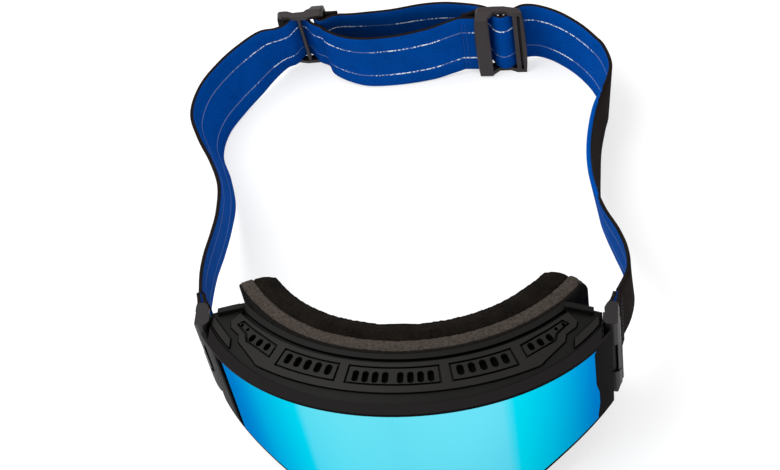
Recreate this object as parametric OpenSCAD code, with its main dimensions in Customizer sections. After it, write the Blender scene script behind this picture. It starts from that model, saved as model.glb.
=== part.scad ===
// Snowboard goggles, standing on the lower edge of the frame with the strap loop behind.
// X runs across the face, the lens faces -Y, Z is up, and everything is in millimetres.
// Walls are front outlines pushed through upright cylinders: one cylinder carries the lens,
// the other the face foam, so every layer is a slice between two radii.

/* [Frame] */
// Half the width of the frame behind the lens
frame_half_w = 84; // [80:0.5:90]
// Height of the frame at the middle of the brow
frame_h = 95; // [90:1:104]
// Radius of the brow line seen from the front
brow_r = 208; // [180:4:320]
// Thickness of the frame's walls
wall = 2.4; // [1.6:0.2:3]
// Width of the seat ring that the lens rests on
seat_w = 6.5; // [5:0.5:9]
// Thickness of the seat ring
seat_t = 2.2; // [1.6:0.2:3]
// Height of the nose arch's centre
nose_z = 4; // [0:1:8]
// Distance of each cheek lobe's centre from the middle
lobe_x = 36.5; // [34:0.5:40]
// Radius of each cheek lobe
lobe_r = 14; // [12:0.5:15]
// How far each cheek lobe is cut flat to stand on
lobe_flat = 0.4; // [0.2:0.1:0.8]
// Depth of the frame from the lens to the wall behind the temples
temple_y = 60; // [58:0.5:62]

/* [Lens] */
// Radius of the lens, which is a piece of an upright cylinder
lens_r = 102; // [98:1:110]
// Thickness of the outer lens
lens_t = 1.2; // [1:0.1:1.6]
// Thickness of the inner lens
inner_lens_t = 1; // [0.8:0.1:1.4]
// Thickness of the gasket between the two lenses
gasket_t = 2; // [1.6:0.2:3]
// Width of the gasket seen from the front
gasket_w = 5; // [4:0.5:7]
// Width of the rim seen round the lens
rim_w = 1.8; // [1.2:0.2:2.4]
// Width of the rim's flange behind the gasket
flange_w = 2.4; // [2:0.2:3]
// Thickness of the rim's flange
flange_t = 1.4; // [1.2:0.1:2]
// How far each glossy side tab of the rim reaches past the frame
tab_reach = 3.6; // [3:0.1:3.8]
// Width of each side tab inside the frame's width
tab_cover = 3; // [1.5:0.5:4]
// Length of each magnet
magnet_l = 9; // [6:1:12]
// Height of each magnet
magnet_h = 1.4; // [1:0.1:1.6]

/* [Face foam] */
// Radius of the foam's face side seen from above
face_r = 74; // [70:1:80]
// Depth of the goggles from the lens to the foam's face side at the middle
face_depth = 43; // [41:0.5:46]
// Thickness of the fleece layer
fleece_t = 8; // [5:0.5:10]
// Thickness of the grey foam layer
mid_foam_t = 4.4; // [3:0.2:6]
// Thickness of the base foam layer
base_foam_t = 1.6; // [1:0.2:3]
// Thickness of the face frame that carries the foam
face_frame_t = 2.5; // [2:0.1:3]
// Depth to which the foam reaches back at the temples
foam_y = 73; // [71:0.5:75]
// Height of the foam band above the eye opening
foam_brow_w = 15; // [12:0.5:18]
// Width of the foam at each temple, seen from the front
temple_foam_w = 25; // [24:0.5:28]
// How much each foam layer is rounded in at its outer edge
foam_step = 0.7; // [0.3:0.1:1]

/* [Top vents] */
// Thickness of the vent panel in the brow
panel_t = 2.2; // [1.8:0.1:2.4]
// How far the panel and the lens rim stand above the frame's brow
band_drop = 0.8; // [0.4:0.1:1]
// Distance from the foam's base to the vent panel
panel_gap = 1.8; // [1.5:0.1:2.5]
// Depth of the vent panel from front to back
panel_w = 14.6; // [13:0.2:15]
// Distance from each end of the vent panel to the side of the frame
panel_end_gap = 9.7; // [9:0.1:11]
// Width of a vent slot
slot_w = 3; // [2.4:0.1:3.2]
// Length of a slot in the middle group
slot_l = 5.2; // [4:0.2:5.6]
// Width of the groove round each vent group
groove = 0.9; // [0.5:0.1:1]
// Depth of the groove round each vent group
groove_t = 1.3; // [0.4:0.1:1.4]
// Thickness of the vent foam behind the slots
vent_foam_t = 1.5; // [1:0.5:2]
// Length of each end plate from front to back
plate_l = 21; // [19:0.5:22]
// Width of each end plate at its inner corner
plate_w = 11.2; // [10:0.2:12]
// Width of the gutter between the vent panel and the face frame
gutter_w = 1.5; // [1:0.1:1.8]
// Depth of that gutter
gutter_t = 1.5; // [0.8:0.1:1.6]
// Height of the rib that stands behind each outer vent group
rib_h = 1.8; // [1:0.1:2.4]

/* [Bottom vents] */
// Number of slots in each cheek
cheek_slots = 4; // [2:1:5]
// Spacing of the slots in each cheek
cheek_pitch = 5; // [4.5:0.5:6]

/* [Outriggers] */
// Distance of each hinge pin outside the frame's side
pin_out = 3.4; // [3.4:0.1:4]
// Depth of each hinge pin behind the lens
pin_y = 55.5; // [55.5:0.1:56.5]
// Radius of each hinge pin
pin_r = 1; // [0.8:0.1:1.2]
// Radius of the hinge knuckles
knuckle_r = 2.4; // [2.2:0.1:2.5]
// Height of the outriggers' lower end
outrigger_z = 22; // [18:0.5:24]
// Height of the frame's knuckle in the middle of each hinge
lug_h = 22; // [18:1:26]
// Thickness of each outrigger's outer wall
outrigger_t = 1.4; // [1.2:0.1:1.8]
// Thickness of the arms that hold the strap bar
arm_t = 2; // [1.8:0.1:2.6]
// Distance from the hinge pin back to the strap bar
bar_back = 6.9; // [6.9:0.1:8]
// Radius of the strap bar
bar_r = 1.2; // [1:0.1:1.3]

/* [Strap] */
// Width of the webbing
strap_w = 40; // [36:1:42]
// Thickness of the webbing
strap_t = 2; // [1.6:0.1:2.2]
// Height of the webbing's lower edge at the outriggers
strap_z = 36.5; // [36:0.1:37]
// Height of the webbing's lower edge in the sliders
slider_strap_z = 3.2; // [3:0.1:3.4]

/* [Sliders] */
// Length of each slider along the strap
slider_l = 25; // [24:0.5:28]
// Width of the slider's cover bar
cover_w = 7.4; // [6:0.2:8]
// Thickness of the slider's bars
bar_t = 2.2; // [2:0.1:2.6]
// Thickness of the rails above and below the webbing
rail_t = 2.6; // [2.2:0.1:2.8]
// Radius of the rod that the sewn end loops round
rod_r = 1.1; // [1:0.1:1.3]

/* [Fits] */
// Clearance between the lens rim and the frame, and in every hinge
play = 0.3; // [0.2:0.05:0.5]
// Clearance of webbing in a loop or a slot
web_play = 0.3; // [0.2:0.05:0.4]
// Clearance of a hinge pin in its outrigger
pin_play = 0.1; // [0.05:0.01:0.1]
// Gap round the vent panel and the end plates
panel_play = 0.3; // [0.2:0.05:0.4]

/* [Hidden] */
$fn = 96;

black = "#1d1c1a";
gloss_black = "#0d0c0c";
foam_grey = "#5c534d";
fleece_black = "#211f1b";
clip_grey = "#3d3c42";
strap_blue = "#00469e";
mirror_blue = "#16b8e6";
steel = "#8c8c90";

over = 1; // how far a cut runs past the face it cuts
lobe_z = lobe_r - lobe_flat;
wing = [frame_half_w - 1, -30];
rim_half_w = frame_half_w + tab_reach; // half the width of the rim with its side tabs
lens_half_w = frame_half_w - tab_cover; // half the width of the clear lens between its side tabs
eye_half_w = frame_half_w - temple_foam_w; // half the width of the eye opening
pin_x = frame_half_w + pin_out; // each hinge pin's distance from the middle
meet = 0.06; // how far each lobe runs into the nose and wing circles, so that the curves cross
nose_r = norm([lobe_x, lobe_z - nose_z]) - lobe_r + meet;
wing_r = norm([wing[0] - lobe_x, wing[1] - lobe_z]) - lobe_r + meet;
deep = 120; // longer than anything pushed through the outline

// Radii about the lens axis, which stands lens_r behind the front of the lens.
lens_axis = lens_r;
lens_back = lens_r - lens_t;
gasket_back = lens_back - gasket_t;
rim_back = gasket_back - flange_t;
seat_front = rim_back - play;
seat_back = seat_front - seat_t;

// Radii about the face axis, growing from the face towards the lens.
face_axis = face_depth + face_r;
fleece_front = face_r + fleece_t;
mid_front = fleece_front + mid_foam_t;
base_front = mid_front + base_foam_t;
face_frame_front = base_front + face_frame_t;
panel_in = face_frame_front + panel_gap;
panel_out = panel_in + panel_w;

// Strap bar, behind the hinge pin and a little further out
bar_out = 0.9;
bar_x = pin_x + bar_out;
bar_y = pin_y + bar_back;
loop_r = bar_r + web_play + strap_t;
tab_l = 9;
tab_a = 14; // the tab leaves the bar at this angle outward from straight back
end_gap = 0.3; // from a sewn piece's end to the webbing that it is part of

// Sliders: place of the middle, turn about Z, and lean about their length
slider_h = slider_strap_z + strap_w + web_play + rail_t;
half_l = slider_l / 2;
right_slider_at = [30, 254.7];
left_slider_at = [-69.4, 258.5];
left_slider_turn = 4;
left_slider_lean = 10;
rail_front = -1.8; // the rails' face on the side away from the cover bar
left_stand = slider_h / 2 * cos(left_slider_lean) - rail_front * sin(left_slider_lean);
rod_u = cover_w / 2 - half_l - 1.4; // the rod's place along the slider, behind the cover bar
rod_loop_r = rod_r + web_play + strap_t;
end_l = 9; // length of the sewn end beyond its rod
end_off = 1.2; // the sewn end lies this far towards the cover bar from the rod
cover_at = rod_loop_r + 0.4; // the cover bar's inner face
end_bar_at = 0.6; // the end bar's inner face
end_bar_w = 5.6; // width of the end bar with its groove
mid_bar = [1, -0.6]; // the middle bar's place
bar_reach = bar_t / 2 + web_play + strap_t / 2; // from a bar's middle to the webbing's

// The webbing's way through a slider, in the slider's frame: behind the end bar, over the
// middle bar, and behind the sewn end
way = [[half_l + 0.5, end_bar_at - 5.7],
    [half_l - end_bar_w + 1.1, end_bar_at - web_play - strap_t / 2 - 2.4],
    mid_bar + [bar_reach + 1, 1.5], mid_bar + [0, bar_reach + 0.6], mid_bar - [bar_reach + 0.8, -1.5],
    [rod_u + rod_loop_r + web_play + strap_t / 2 + 0.3, -rod_loop_r + 0.2],
    [rod_u + 0.2, -rod_loop_r - web_play - strap_t / 2 - 1.2]];
end_way = [rod_u - end_l - end_gap, end_off]; // where a strap meets its sewn end

// Route points for places given in a slider's frame
function to_right(p) = [right_slider_at[0] + p[0], right_slider_at[1] - p[1], slider_strap_z, 0, 0];
function to_left(p) =
    let (c = cos(left_slider_lean), s = sin(left_slider_lean), t = left_slider_turn,
        z = slider_strap_z - slider_h / 2, y = p[1] * c - (z + strap_w / 2) * s)
    [left_slider_at[0] - p[0] * cos(t) - y * sin(t), left_slider_at[1] - p[0] * sin(t) + y * cos(t),
        left_stand + p[1] * s + z * c, strap_w * s * sin(t), -strap_w * s * cos(t)];

// Front outlines, in X and Z. Each is the brow arc, straight temples, a lobe over each
// cheek, the nose arch and a wing circle under each temple, all drawn in by the same inset.
module outline(inset, half_w) {
    r = lobe_r - inset;
    difference() {
        intersection() {
            translate([0, frame_h - brow_r]) circle(r = brow_r - inset, $fn = 240);
            translate([inset - half_w, 0]) square([2 * (half_w - inset), frame_h]);
        }
        translate([0, nose_z]) circle(r = nose_r + inset);
        for (s = [-1, 1]) {
            translate([s * wing[0], wing[1]]) circle(r = wing_r + inset);
            below_lobe(s, r);
        }
    }
    for (s = [-1, 1])
        intersection() {
            translate([s * lobe_x, lobe_z]) circle(r = r);
            translate([s * lobe_x - lobe_r, inset]) square([2 * lobe_r, 2 * lobe_r]);
        }
}

// The area under the line through the points where a lobe meets the nose and wing circles
module below_lobe(s, r) {
    c = [lobe_x, lobe_z];
    to_nose = [-lobe_x, nose_z - lobe_z];
    to_wing = [wing[0] - lobe_x, wing[1] - lobe_z];
    a = c + r * to_nose / norm(to_nose);
    b = c + r * to_wing / norm(to_wing);
    out = (b - a) / norm(b - a) * 3;
    a1 = a - out;
    b1 = b + out;
    polygon([[s * a1[0], a1[1]], [s * b1[0], b1[1]],
        [s * b1[0], b1[1] - frame_h], [s * a1[0], a1[1] - frame_h]]);
}

// The eye opening is a smaller outline of the same kind, with its own cheek lobes.
eye_lobe = [36, 27];
eye_lobe_r = 11;
module eye_opening() {
    nose_gap = norm([eye_lobe[0], eye_lobe[1] - nose_z]) - eye_lobe_r;
    wing_gap = norm([wing[0] - eye_lobe[0], wing[1] - eye_lobe[1]]) - eye_lobe_r;
    difference() {
        intersection() {
            translate([0, frame_h - brow_r]) circle(r = brow_r - foam_brow_w, $fn = 240);
            translate([-eye_half_w, eye_lobe[1] - eye_lobe_r]) square([2 * eye_half_w, frame_h]);
        }
        translate([0, nose_z]) circle(r = nose_gap);
        for (s = [-1, 1])
            translate([s * wing[0], wing[1]]) circle(r = wing_gap);
    }
}

// Push a front outline through the whole depth of the goggles.
module through() {
    translate([0, deep, 0]) rotate([90, 0, 0]) linear_extrude(height = deep + over) children();
}

// A layer between two radii about an upright axis on the middle plane
module layer(r_in, r_out, axis_y) {
    translate([0, axis_y, -over]) difference() {
        cylinder(r = r_out, h = frame_h + 2 * over, $fn = 240);
        translate([0, 0, -over]) cylinder(r = r_in, h = frame_h + 4 * over, $fn = 240);
    }
}

// The brow arc as a solid lying along Y, drawn in by an inset
module brow_solid(inset) {
    translate([0, deep, frame_h - brow_r]) rotate([90, 0, 0])
        cylinder(r = brow_r - inset, h = deep + over, $fn = 240);
}

// Plan of a sector about the face axis, between two angles from straight ahead
module sector(r_in, r_out, a0, a1) {
    far = 2 * r_out;
    intersection() {
        difference() {
            circle(r = r_out, $fn = 240);
            circle(r = r_in, $fn = 240);
        }
        polygon([[0, 0], far * [sin(a0), -cos(a0)],
            far * [sin((a0 + a1) / 2), -cos((a0 + a1) / 2)], far * [sin(a1), -cos(a1)]]);
    }
}

// Stand a plan that is drawn about the face axis upright through the brow.
module upright() {
    translate([0, face_axis, frame_h / 2]) linear_extrude(height = frame_h / 2 + over) children();
}

// Everything from the front of the lens back to a depth
module front_half(y_max) {
    translate([-deep, -over, -over]) cube([2 * deep, y_max + over, frame_h + 2 * over]);
}

// Shift from the design origin, at the front of the lens, to the middle of the whole object
module placed() {
    translate([-mid_x, -mid_y, 0]) children();
}

// Outline of the clear lens: the rim's inside, cut in at the sides by the tabs. The lens widens
// into each tab by a notch low down and by two at the top, at shares of the frame's height.
lens_notch = 1;
lens_sides = [[0, 0], [0, 0.25], [1, 0.34], [1, 0.44], [0, 0.53], [0, 0.79], [2, 0.83], [2, 1]];
module lens_outline(inset) {
    side = [for (p = lens_sides) [lens_half_w - inset + p[0] * lens_notch, p[1] * frame_h]];
    intersection() {
        outline(rim_w + inset, rim_half_w);
        polygon(concat(side, [for (i = [len(side) - 1:-1:0]) [-side[i][0], side[i][1]]]));
    }
}

module outer_lens() {
    color(mirror_blue) placed() intersection() {
        layer(lens_back, lens_r, lens_axis);
        front_half(temple_y);
        through() lens_outline(0);
    }
}

gasket_in = rim_w + gasket_w;
flange_in = rim_w + flange_w;
module inner_lens() {
    color("#c9a36a") placed() intersection() {
        layer(gasket_back - inner_lens_t, gasket_back, lens_axis);
        front_half(temple_y);
        through() outline(flange_in + play, lens_half_w + rim_w);
    }
}

module lens_gasket() {
    color(fleece_black) placed() intersection() {
        layer(gasket_back, lens_back, lens_axis);
        front_half(temple_y);
        through() difference() {
            outline(rim_w, lens_half_w + rim_w);
            outline(gasket_in, lens_half_w + rim_w);
        }
    }
}

// Magnets sit at these distances from the middle, in the brow, and one in each cheek.
magnet_x = frame_half_w - 22;
brow_magnets = [-magnet_x, -24, 24, magnet_x];
magnet_gap = 0.5; // from the flange's outer edge to a magnet
module magnets(r_in, r_out) {
    intersection() {
        layer(r_in, r_out, lens_axis);
        front_half(temple_y);
        union() {
            for (x = brow_magnets)
                through() intersection() {
                    difference() {
                        outline(rim_w + magnet_gap, rim_half_w);
                        outline(rim_w + magnet_gap + magnet_h, rim_half_w);
                    }
                    translate([x - magnet_l / 2, frame_h / 2]) square([magnet_l, frame_h]);
                }
            for (s = [-1, 1])
                through() intersection() {
                    difference() {
                        outline(rim_w + magnet_gap, rim_half_w);
                        outline(rim_w + magnet_gap + magnet_h, rim_half_w);
                    }
                    translate([s * magnet_x - magnet_l / 2, 0]) square([magnet_l, frame_h / 2]);
                }
        }
    }
}

module lens_rim() {
    color(gloss_black) placed() difference() {
        intersection() {
            front_half(temple_y);
            union() {
                intersection() {
                    layer(rim_back, lens_r, lens_axis);
                    through() difference() {
                        outline(0, frame_half_w);
                        outline(rim_w, lens_half_w + rim_w);
                    }
                }
                intersection() {
                    layer(lens_back, lens_r, lens_axis);
                    through() difference() {
                        outline(0, rim_half_w);
                        lens_outline(0);
                    }
                }
                intersection() {
                    layer(rim_back, gasket_back, lens_axis);
                    through() difference() {
                        outline(0, frame_half_w);
                        outline(flange_in, lens_half_w + rim_w);
                    }
                }
            }
        }
        intersection() {
            layer(lens_back, lens_r + over, lens_axis);
            through() lens_outline(0);
        }
        magnets(rim_back - over, gasket_back - play);
    }
}

module lens_magnets() {
    color(steel) placed() magnets(rim_back, gasket_back - play);
}

// Plan of the frame: inside the lens seat, outside the face frame, and not past the temples
module frame_depth() {
    difference() {
        intersection() {
            translate([0, lens_axis, -over])
                cylinder(r = seat_front, h = frame_h + 2 * over, $fn = 240);
            front_half(temple_y);
            brow_solid(band_drop);
        }
        translate([0, face_axis, -2 * over])
            cylinder(r = face_frame_front, h = frame_h + 4 * over, $fn = 240);
    }
}

module frame() {
    color(black) placed() {
        difference() {
            union() {
                intersection() {
                    frame_depth();
                    through() difference() {
                        outline(0, frame_half_w);
                        outline(band_drop + wall, frame_half_w + band_drop);
                    }
                }
                intersection() {
                    frame_depth();
                    layer(seat_back, seat_front, lens_axis);
                    through() difference() {
                        outline(0, frame_half_w);
                        outline(seat_w, frame_half_w);
                    }
                }
                intersection() {
                    frame_depth();
                    translate([-deep, temple_y - wall, 0]) cube([2 * deep, wall, frame_h]);
                    through() outline(0, frame_half_w);
                }
                rear_rib();
                for (s = [-1, 1]) hinge_lug(s);
            }
            panel_recess();
            gutter();
            magnets(seat_front - flange_t, seat_front + over);
            for (s = [-1, 1]) {
                cheek_slots_at(s, -over, lobe_z);
                translate([s * pin_x, pin_y, lug_z - over]) cylinder(r = pin_r, h = lug_h + 2 * over);
            }
        }
    }
}

// A rib stands on the brow above the rear wall, behind each outer vent group.
rib_inset = 3.4; // from the side of the frame to the rib's end
module rear_rib() {
    half = frame_half_w - rib_inset;
    difference() {
        intersection() {
            translate([-half, temple_y - wall, frame_h / 2]) cube([2 * half, wall, frame_h]);
            brow_solid(-rib_h);
        }
        translate([0, face_axis, 0]) cylinder(r = face_frame_front, h = 2 * frame_h, $fn = 240);
        translate([-frame_half_w, 0, 0]) cube([2 * frame_half_w, temple_y + over, frame_h / 2 + over]);
    }
}

// A gutter runs round the rear of the vent panel, down to a thin floor.
module gutter() {
    difference() {
        upright() sector(face_frame_front - over, face_frame_front + gutter_w, -panel_end_a, panel_end_a);
        brow_solid(band_drop + gutter_t);
    }
}

outrigger_top = strap_z + strap_w + web_play + arm_t;
lug_z = outrigger_z + (outrigger_top - outrigger_z - lug_h) / 2;
// Knuckle on the side of the frame, joined to the wall by a web
module hinge_lug(s) {
    translate([s * pin_x, pin_y, lug_z]) cylinder(r = knuckle_r, h = lug_h);
    web = pin_x - frame_half_w + wall;
    translate([s > 0 ? pin_x - web : -pin_x, pin_y - knuckle_r / 2, lug_z])
        cube([web, knuckle_r, lug_h]);
}

// A place in plan from a radius and an angle about the face axis
function polar(r, a) = r * [sin(a), -cos(a)];

// The angle that a short distance takes up at a radius
function turn_of(d, r) = d * 180 / (PI * r);

// The panel's end is at a set distance from the frame's side. The vents and the steps of the
// panel's front edge are spaced as shares of the angle that it reaches.
panel_end_r = 98.2;
panel_end_a = asin((frame_half_w - panel_end_gap) / panel_end_r);
spread = panel_end_a / 49.2;

// The steps of the panel's front edge, each a distance in from the front and an angle
panel_steps = [[-1, 33], [1.3, 36], [4.5, 42.8], [6.9, 44.3], [7.1, 47.8], [8.8, 49.2]];

// Plan of what is cut from one end of the panel, drawn in by a gap
past = 9; // well clear of the panel's inner and outer edges
past_end = 65; // an angle well clear of the panel's ends
module panel_step_cut(s, gap) {
    turn = turn_of(gap, panel_out);
    steps_out = [for (p = panel_steps)
        polar(panel_out - p[0] - gap, s * (p[1] * spread - turn))];
    polygon(concat([polar(panel_out + past, s * panel_steps[0][1] * spread)], steps_out,
        [polar(panel_in - past, s * (panel_end_a - turn)), polar(panel_in - past, s * past_end),
        polar(panel_out + past, s * past_end)]));
}

module panel_plan(gap) {
    difference() {
        sector(panel_in + gap, panel_out - gap, 5 - past_end, past_end - 5);
        for (s = [-1, 1]) panel_step_cut(s, gap);
    }
}

// Plan of an end plate, in the corner between the panel's steps and the frame's side. It is
// narrow at its back, and slants in to its full width at a share of its length.
plate_back_w = 1.2;
plate_slant = 0.62;
plate_inset = 0.4; // from the rear wall to the plate's back
module plate_plan(s, gap) {
    edge = frame_half_w - band_drop - gap;
    back = temple_y - wall - plate_inset;
    a = [frame_half_w - band_drop - plate_back_w, back];
    b = [frame_half_w - plate_w, back - plate_l * plate_slant];
    along = (a - b) / norm(a - b);
    in = gap * [along[1], -along[0]];
    intersection() {
        translate([0, lens_axis - face_axis]) circle(r = seat_front - band_drop - gap, $fn = 240);
        mirror([s < 0 ? 1 : 0, 0]) translate([0, -face_axis]) intersection() {
            translate([b[0] + gap, back - plate_l]) square([edge - b[0] - gap, plate_l - gap]);
            polygon([a + in + past * along, b + in - 2 * past * along, b + in + [2 * past, -2 * past],
                a + in + [2 * past, past]]);
        }
    }
}

// What the panel and the end plates take out of the brow, with a window under the panel
ledge = 1.6;
module panel_recess() {
    difference() {
        upright() {
            panel_plan(0);
            for (s = [-1, 1]) plate_plan(s, 0);
        }
        brow_solid(panel_t);
    }
    upright() panel_plan(ledge);
}

// Plan of a slot at an angle and a radius, whose ends are full rounds a hair wider than its sides
module slot(a, r, l, w) {
    rotate(a) translate([0, -r]) {
        square([w, l - w], center = true);
        for (s = [-1, 1])
            translate([0, s * (l - w) / 2]) circle(r = w / 2 + meet, $fn = 48);
    }
}

vent_r = panel_in + 6.3; // the side slots' distance from the face axis
middle_vents = [1.8, 4.2, 6.6, 9.0];
side_vents = [16.1, 18.9, 21.7, 24.5, 27.3];
outer_vents = [34.6, 37.3, 40];
end_vents = [43, 45.4];
end_vent_r = 0.8; // radius of the small round vents at the panel's ends
end_vent_in = 2.85; // how much nearer to the face axis those vents lie
slot_out = 1; // how much further out the middle slots lie, and further in the outer ones
slot_less = 0.3; // how much narrower those slots are
outer_slot_l = slot_l - 1.6;
module vent_slots() {
    for (s = [-1, 1]) {
        for (a = middle_vents)
            slot(s * a * spread, vent_r + slot_out, slot_l, slot_w - slot_less);
        for (a = side_vents)
            slot(s * a * spread, vent_r, slot_l - slot_less, slot_w);
        for (a = outer_vents)
            slot(s * a * spread, vent_r - slot_out, outer_slot_l, slot_w - slot_less);
        for (a = end_vents)
            rotate(s * a * spread) translate([0, end_vent_in - vent_r]) circle(r = end_vent_r, $fn = 24);
    }
}

// Plan of a groove round a group of vents
module group_groove(r0, r1, a0, a1) {
    ga = turn_of(groove, vent_r);
    difference() {
        sector(r0, r1, a0, a1);
        sector(r0 + groove, r1 - groove, a0 + ga, a1 - ga);
    }
}

// Outline round an outer group: wide over its three slots, then slanting in to a narrow neck
// round the two small vents. The corners are distances out from the inner edge, and angles.
module outer_group(r0, s, gap) {
    g = turn_of(gap, vent_r);
    corners = [[0.4, 32.2, 1, 1], [7, 32, -1, 1], [5.8, 40.9, -1, -1], [3.6, 42.6, -1, -1],
        [2.4, 47, -1, -1], [-0.8, 46.2, 1, -1], [-0.6, 41.2, 1, -1]];
    polygon([for (c = corners) polar(r0 + c[0] + c[2] * gap, s * (c[1] * spread + c[3] * g))]);
}

module outer_groove(r0, s) {
    difference() {
        outer_group(r0, s, 0);
        outer_group(r0, s, groove);
    }
}

group_in = panel_in + 2.3; // the inner edge of every vent group's groove
group_out = panel_out - 3.4; // and the outer edge
middle_group = 11.4; // the middle group's half width, as an angle
side_group = [13.6, 29.8]; // the side groups' ends
module vent_panel() {
    color(black) placed() difference() {
        intersection() {
            upright() difference() {
                panel_plan(panel_play);
                vent_slots();
            }
            brow_solid(0);
        }
        brow_solid(panel_t);
        difference() {
            upright() {
                group_groove(group_in, group_out, -middle_group * spread, middle_group * spread);
                group_groove(group_in, group_out, side_group[0] * spread, side_group[1] * spread);
                group_groove(group_in, group_out, -side_group[1] * spread, -side_group[0] * spread);
                for (s = [-1, 1]) outer_groove(group_in, s);
            }
            brow_solid(groove_t);
        }
    }
}

module end_plate(s) {
    color(black) placed() difference() {
        intersection() {
            upright() plate_plan(s, panel_play);
            brow_solid(0);
        }
        brow_solid(panel_t);
    }
}
module left_end_plate() { end_plate(-1); }
module right_end_plate() { end_plate(1); }

// The top vent foam lies under the panel, a little smaller all round.
vent_foam_in = 0.2;
vent_foam_a = 46; // half its width, as an angle
module top_vent_foam() {
    color(fleece_black) placed() difference() {
        intersection() {
            upright() sector(panel_in + vent_foam_in, panel_out - vent_foam_in,
                -vent_foam_a * spread, vent_foam_a * spread);
            layer(0, seat_back - play, lens_axis);
            brow_solid(band_drop + wall);
        }
        brow_solid(band_drop + wall + vent_foam_t);
    }
}

// Slots through the floor of one cheek, along Y, with rounded ends
cheek_slot = [2.6, 10];
cheek_slot_y = 23; // the slots' middle behind the lens
module cheek_slots_at(s, z0, z1) {
    for (i = [0:cheek_slots - 1])
        translate([s * (lobe_x + (i - (cheek_slots - 1) / 2) * cheek_pitch), cheek_slot_y, z0])
            linear_extrude(height = z1 - z0) intersection() {
                square(cheek_slot, center = true);
                circle(r = cheek_slot[1] * 0.51, $fn = 48);
            }
}

// The foam behind the cheek slots reaches past them on every side.
cheek_foam_out = 13; // from a lobe's middle outward
cheek_foam_w = 15;
cheek_foam_drop = 3; // from the lobe's middle down to the foam's upper edge
module bottom_vent_foam() {
    half = lobe_x + cheek_foam_out;
    color(fleece_black) placed() intersection() {
        translate([-half, cheek_slot_y - cheek_foam_w / 2, 0])
            cube([2 * half, cheek_foam_w, lobe_z - cheek_foam_drop]);
        layer(0, seat_back - play, lens_axis);
        through() difference() {
            outline(band_drop + wall, frame_half_w);
            outline(band_drop + wall + vent_foam_t, frame_half_w);
        }
    }
}

module frame_magnets() {
    color(steel) placed() magnets(seat_front - flange_t, seat_front);
}

// One ring round the eyes, between two radii about the face axis
module face_ring(r_in, r_out, inset, back) {
    intersection() {
        layer(r_in, r_out, face_axis);
        front_half(back);
        through() difference() {
            outline(inset, frame_half_w);
            eye_opening();
        }
    }
}

rear_lip = 1.6; // how far the face frame reaches behind the frame's rear wall
module face_frame() {
    color(black) placed() face_ring(base_front, face_frame_front, foam_step, temple_y + rear_lip);
}
module base_foam() {
    color(fleece_black) placed() face_ring(mid_front, base_front, 2 * foam_step, foam_y);
}
module mid_foam() {
    color(foam_grey) placed() face_ring(fleece_front, mid_front, 3 * foam_step, foam_y);
}

// The fleece is crowned: its edge steps in over two thinner slices towards the face.
crown = 2;
module face_fleece() {
    color(fleece_black) placed() {
        face_ring(face_r + 2 * crown, fleece_front, 3 * foam_step, foam_y);
        face_ring(face_r + crown, face_r + 2 * crown, 4.2 * foam_step, foam_y);
        face_ring(face_r, face_r + crown, 6.5 * foam_step, foam_y);
    }
}

// Plans of the outrigger, about its hinge pin: X outward, Y back. Its outer wall clears the
// knuckle, and its blocks above and below the knuckle stay inside the wall's face.
wall_in = knuckle_r + play;
wall_out = wall_in + outrigger_t;
block_back = bar_back - loop_r - play;
block_plan = [[play - pin_out, -0.6], [-1.6, -2.4], [1.6, -2.8], [wall_out - 1.1, -2.3], [wall_out, -0.6],
    [wall_out, block_back - 0.6], [wall_out - 0.6, block_back], [play - pin_out, block_back]];
wall_plan = [[wall_in, -2.1], [wall_out, -0.4], [wall_out, block_back - 0.6], [wall_in, block_back]];
grip_plan = [[wall_in + over / 2, -0.4], [wall_out + 0.5, 0.3], [wall_out + 0.5, block_back - 1],
    [wall_in + over / 2, block_back - 0.3]];
arm_back = bar_back + bar_r + 0.5;
arm_plan = [[-2.4, block_back - over], [wall_out, block_back - over], [wall_out, bar_back - 1],
    [3.2, arm_back - 0.7], [2.2, arm_back], [-0.4, arm_back], [-1.6, arm_back - 1.2],
    [-2.4, bar_back - 1]];

// Front view of an outrigger: it tapers at its lower end, is widest at the grip, and its upper
// outer edge is bevelled.
module outrigger_front() {
    far = 20;
    polygon([[-far, outrigger_z], [wall_out - 2, outrigger_z], [wall_out - 1.1, outrigger_z + 4],
        [wall_out + over, outrigger_z + grip_z], [wall_out + over, outrigger_top - 6],
        [wall_out - 0.9, outrigger_top], [-far, outrigger_top]]);
}

grip_z = 7; // from the outrigger's lower end up to its grip
bar_low = strap_z - web_play;
bar_top = strap_z + strap_w + web_play;
pin_cap = 1.6; // what closes the pin's hole at the top
module outrigger(s) {
    lug_top = lug_z + lug_h;
    color(clip_grey) placed() mirror([s < 0 ? 1 : 0, 0, 0]) translate([pin_x, pin_y, 0])
        difference() {
            intersection() {
                union() {
                    translate([0, 0, outrigger_z])
                        linear_extrude(height = lug_z - play - outrigger_z) polygon(block_plan);
                    translate([0, 0, lug_top + play])
                        linear_extrude(height = outrigger_top - lug_top - play) polygon(block_plan);
                    translate([0, 0, outrigger_z + over])
                        linear_extrude(height = outrigger_top - outrigger_z - 2 * over) polygon(wall_plan);
                    translate([0, 0, outrigger_z + grip_z]) linear_extrude(height = lug_h) polygon(grip_plan);
                    translate([0, 0, bar_top]) linear_extrude(height = arm_t) polygon(arm_plan);
                    translate([0, 0, bar_low - arm_t]) linear_extrude(height = arm_t) polygon(arm_plan);
                    translate([bar_out, bar_back, bar_low - arm_t / 2])
                        cylinder(r = bar_r, h = bar_top - bar_low + arm_t);
                }
                through_here() outrigger_front();
            }
            translate([0, 0, outrigger_z - over])
                cylinder(r = pin_r + pin_play, h = outrigger_top - pin_cap - outrigger_z + over);
        }
}

// Push a front view, drawn about the hinge pin, through the outrigger's depth.
module through_here() {
    translate([0, 40, 0]) rotate([90, 0, 0]) linear_extrude(height = 80) children();
}
module left_outrigger() { outrigger(-1); }
module right_outrigger() { outrigger(1); }

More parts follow.
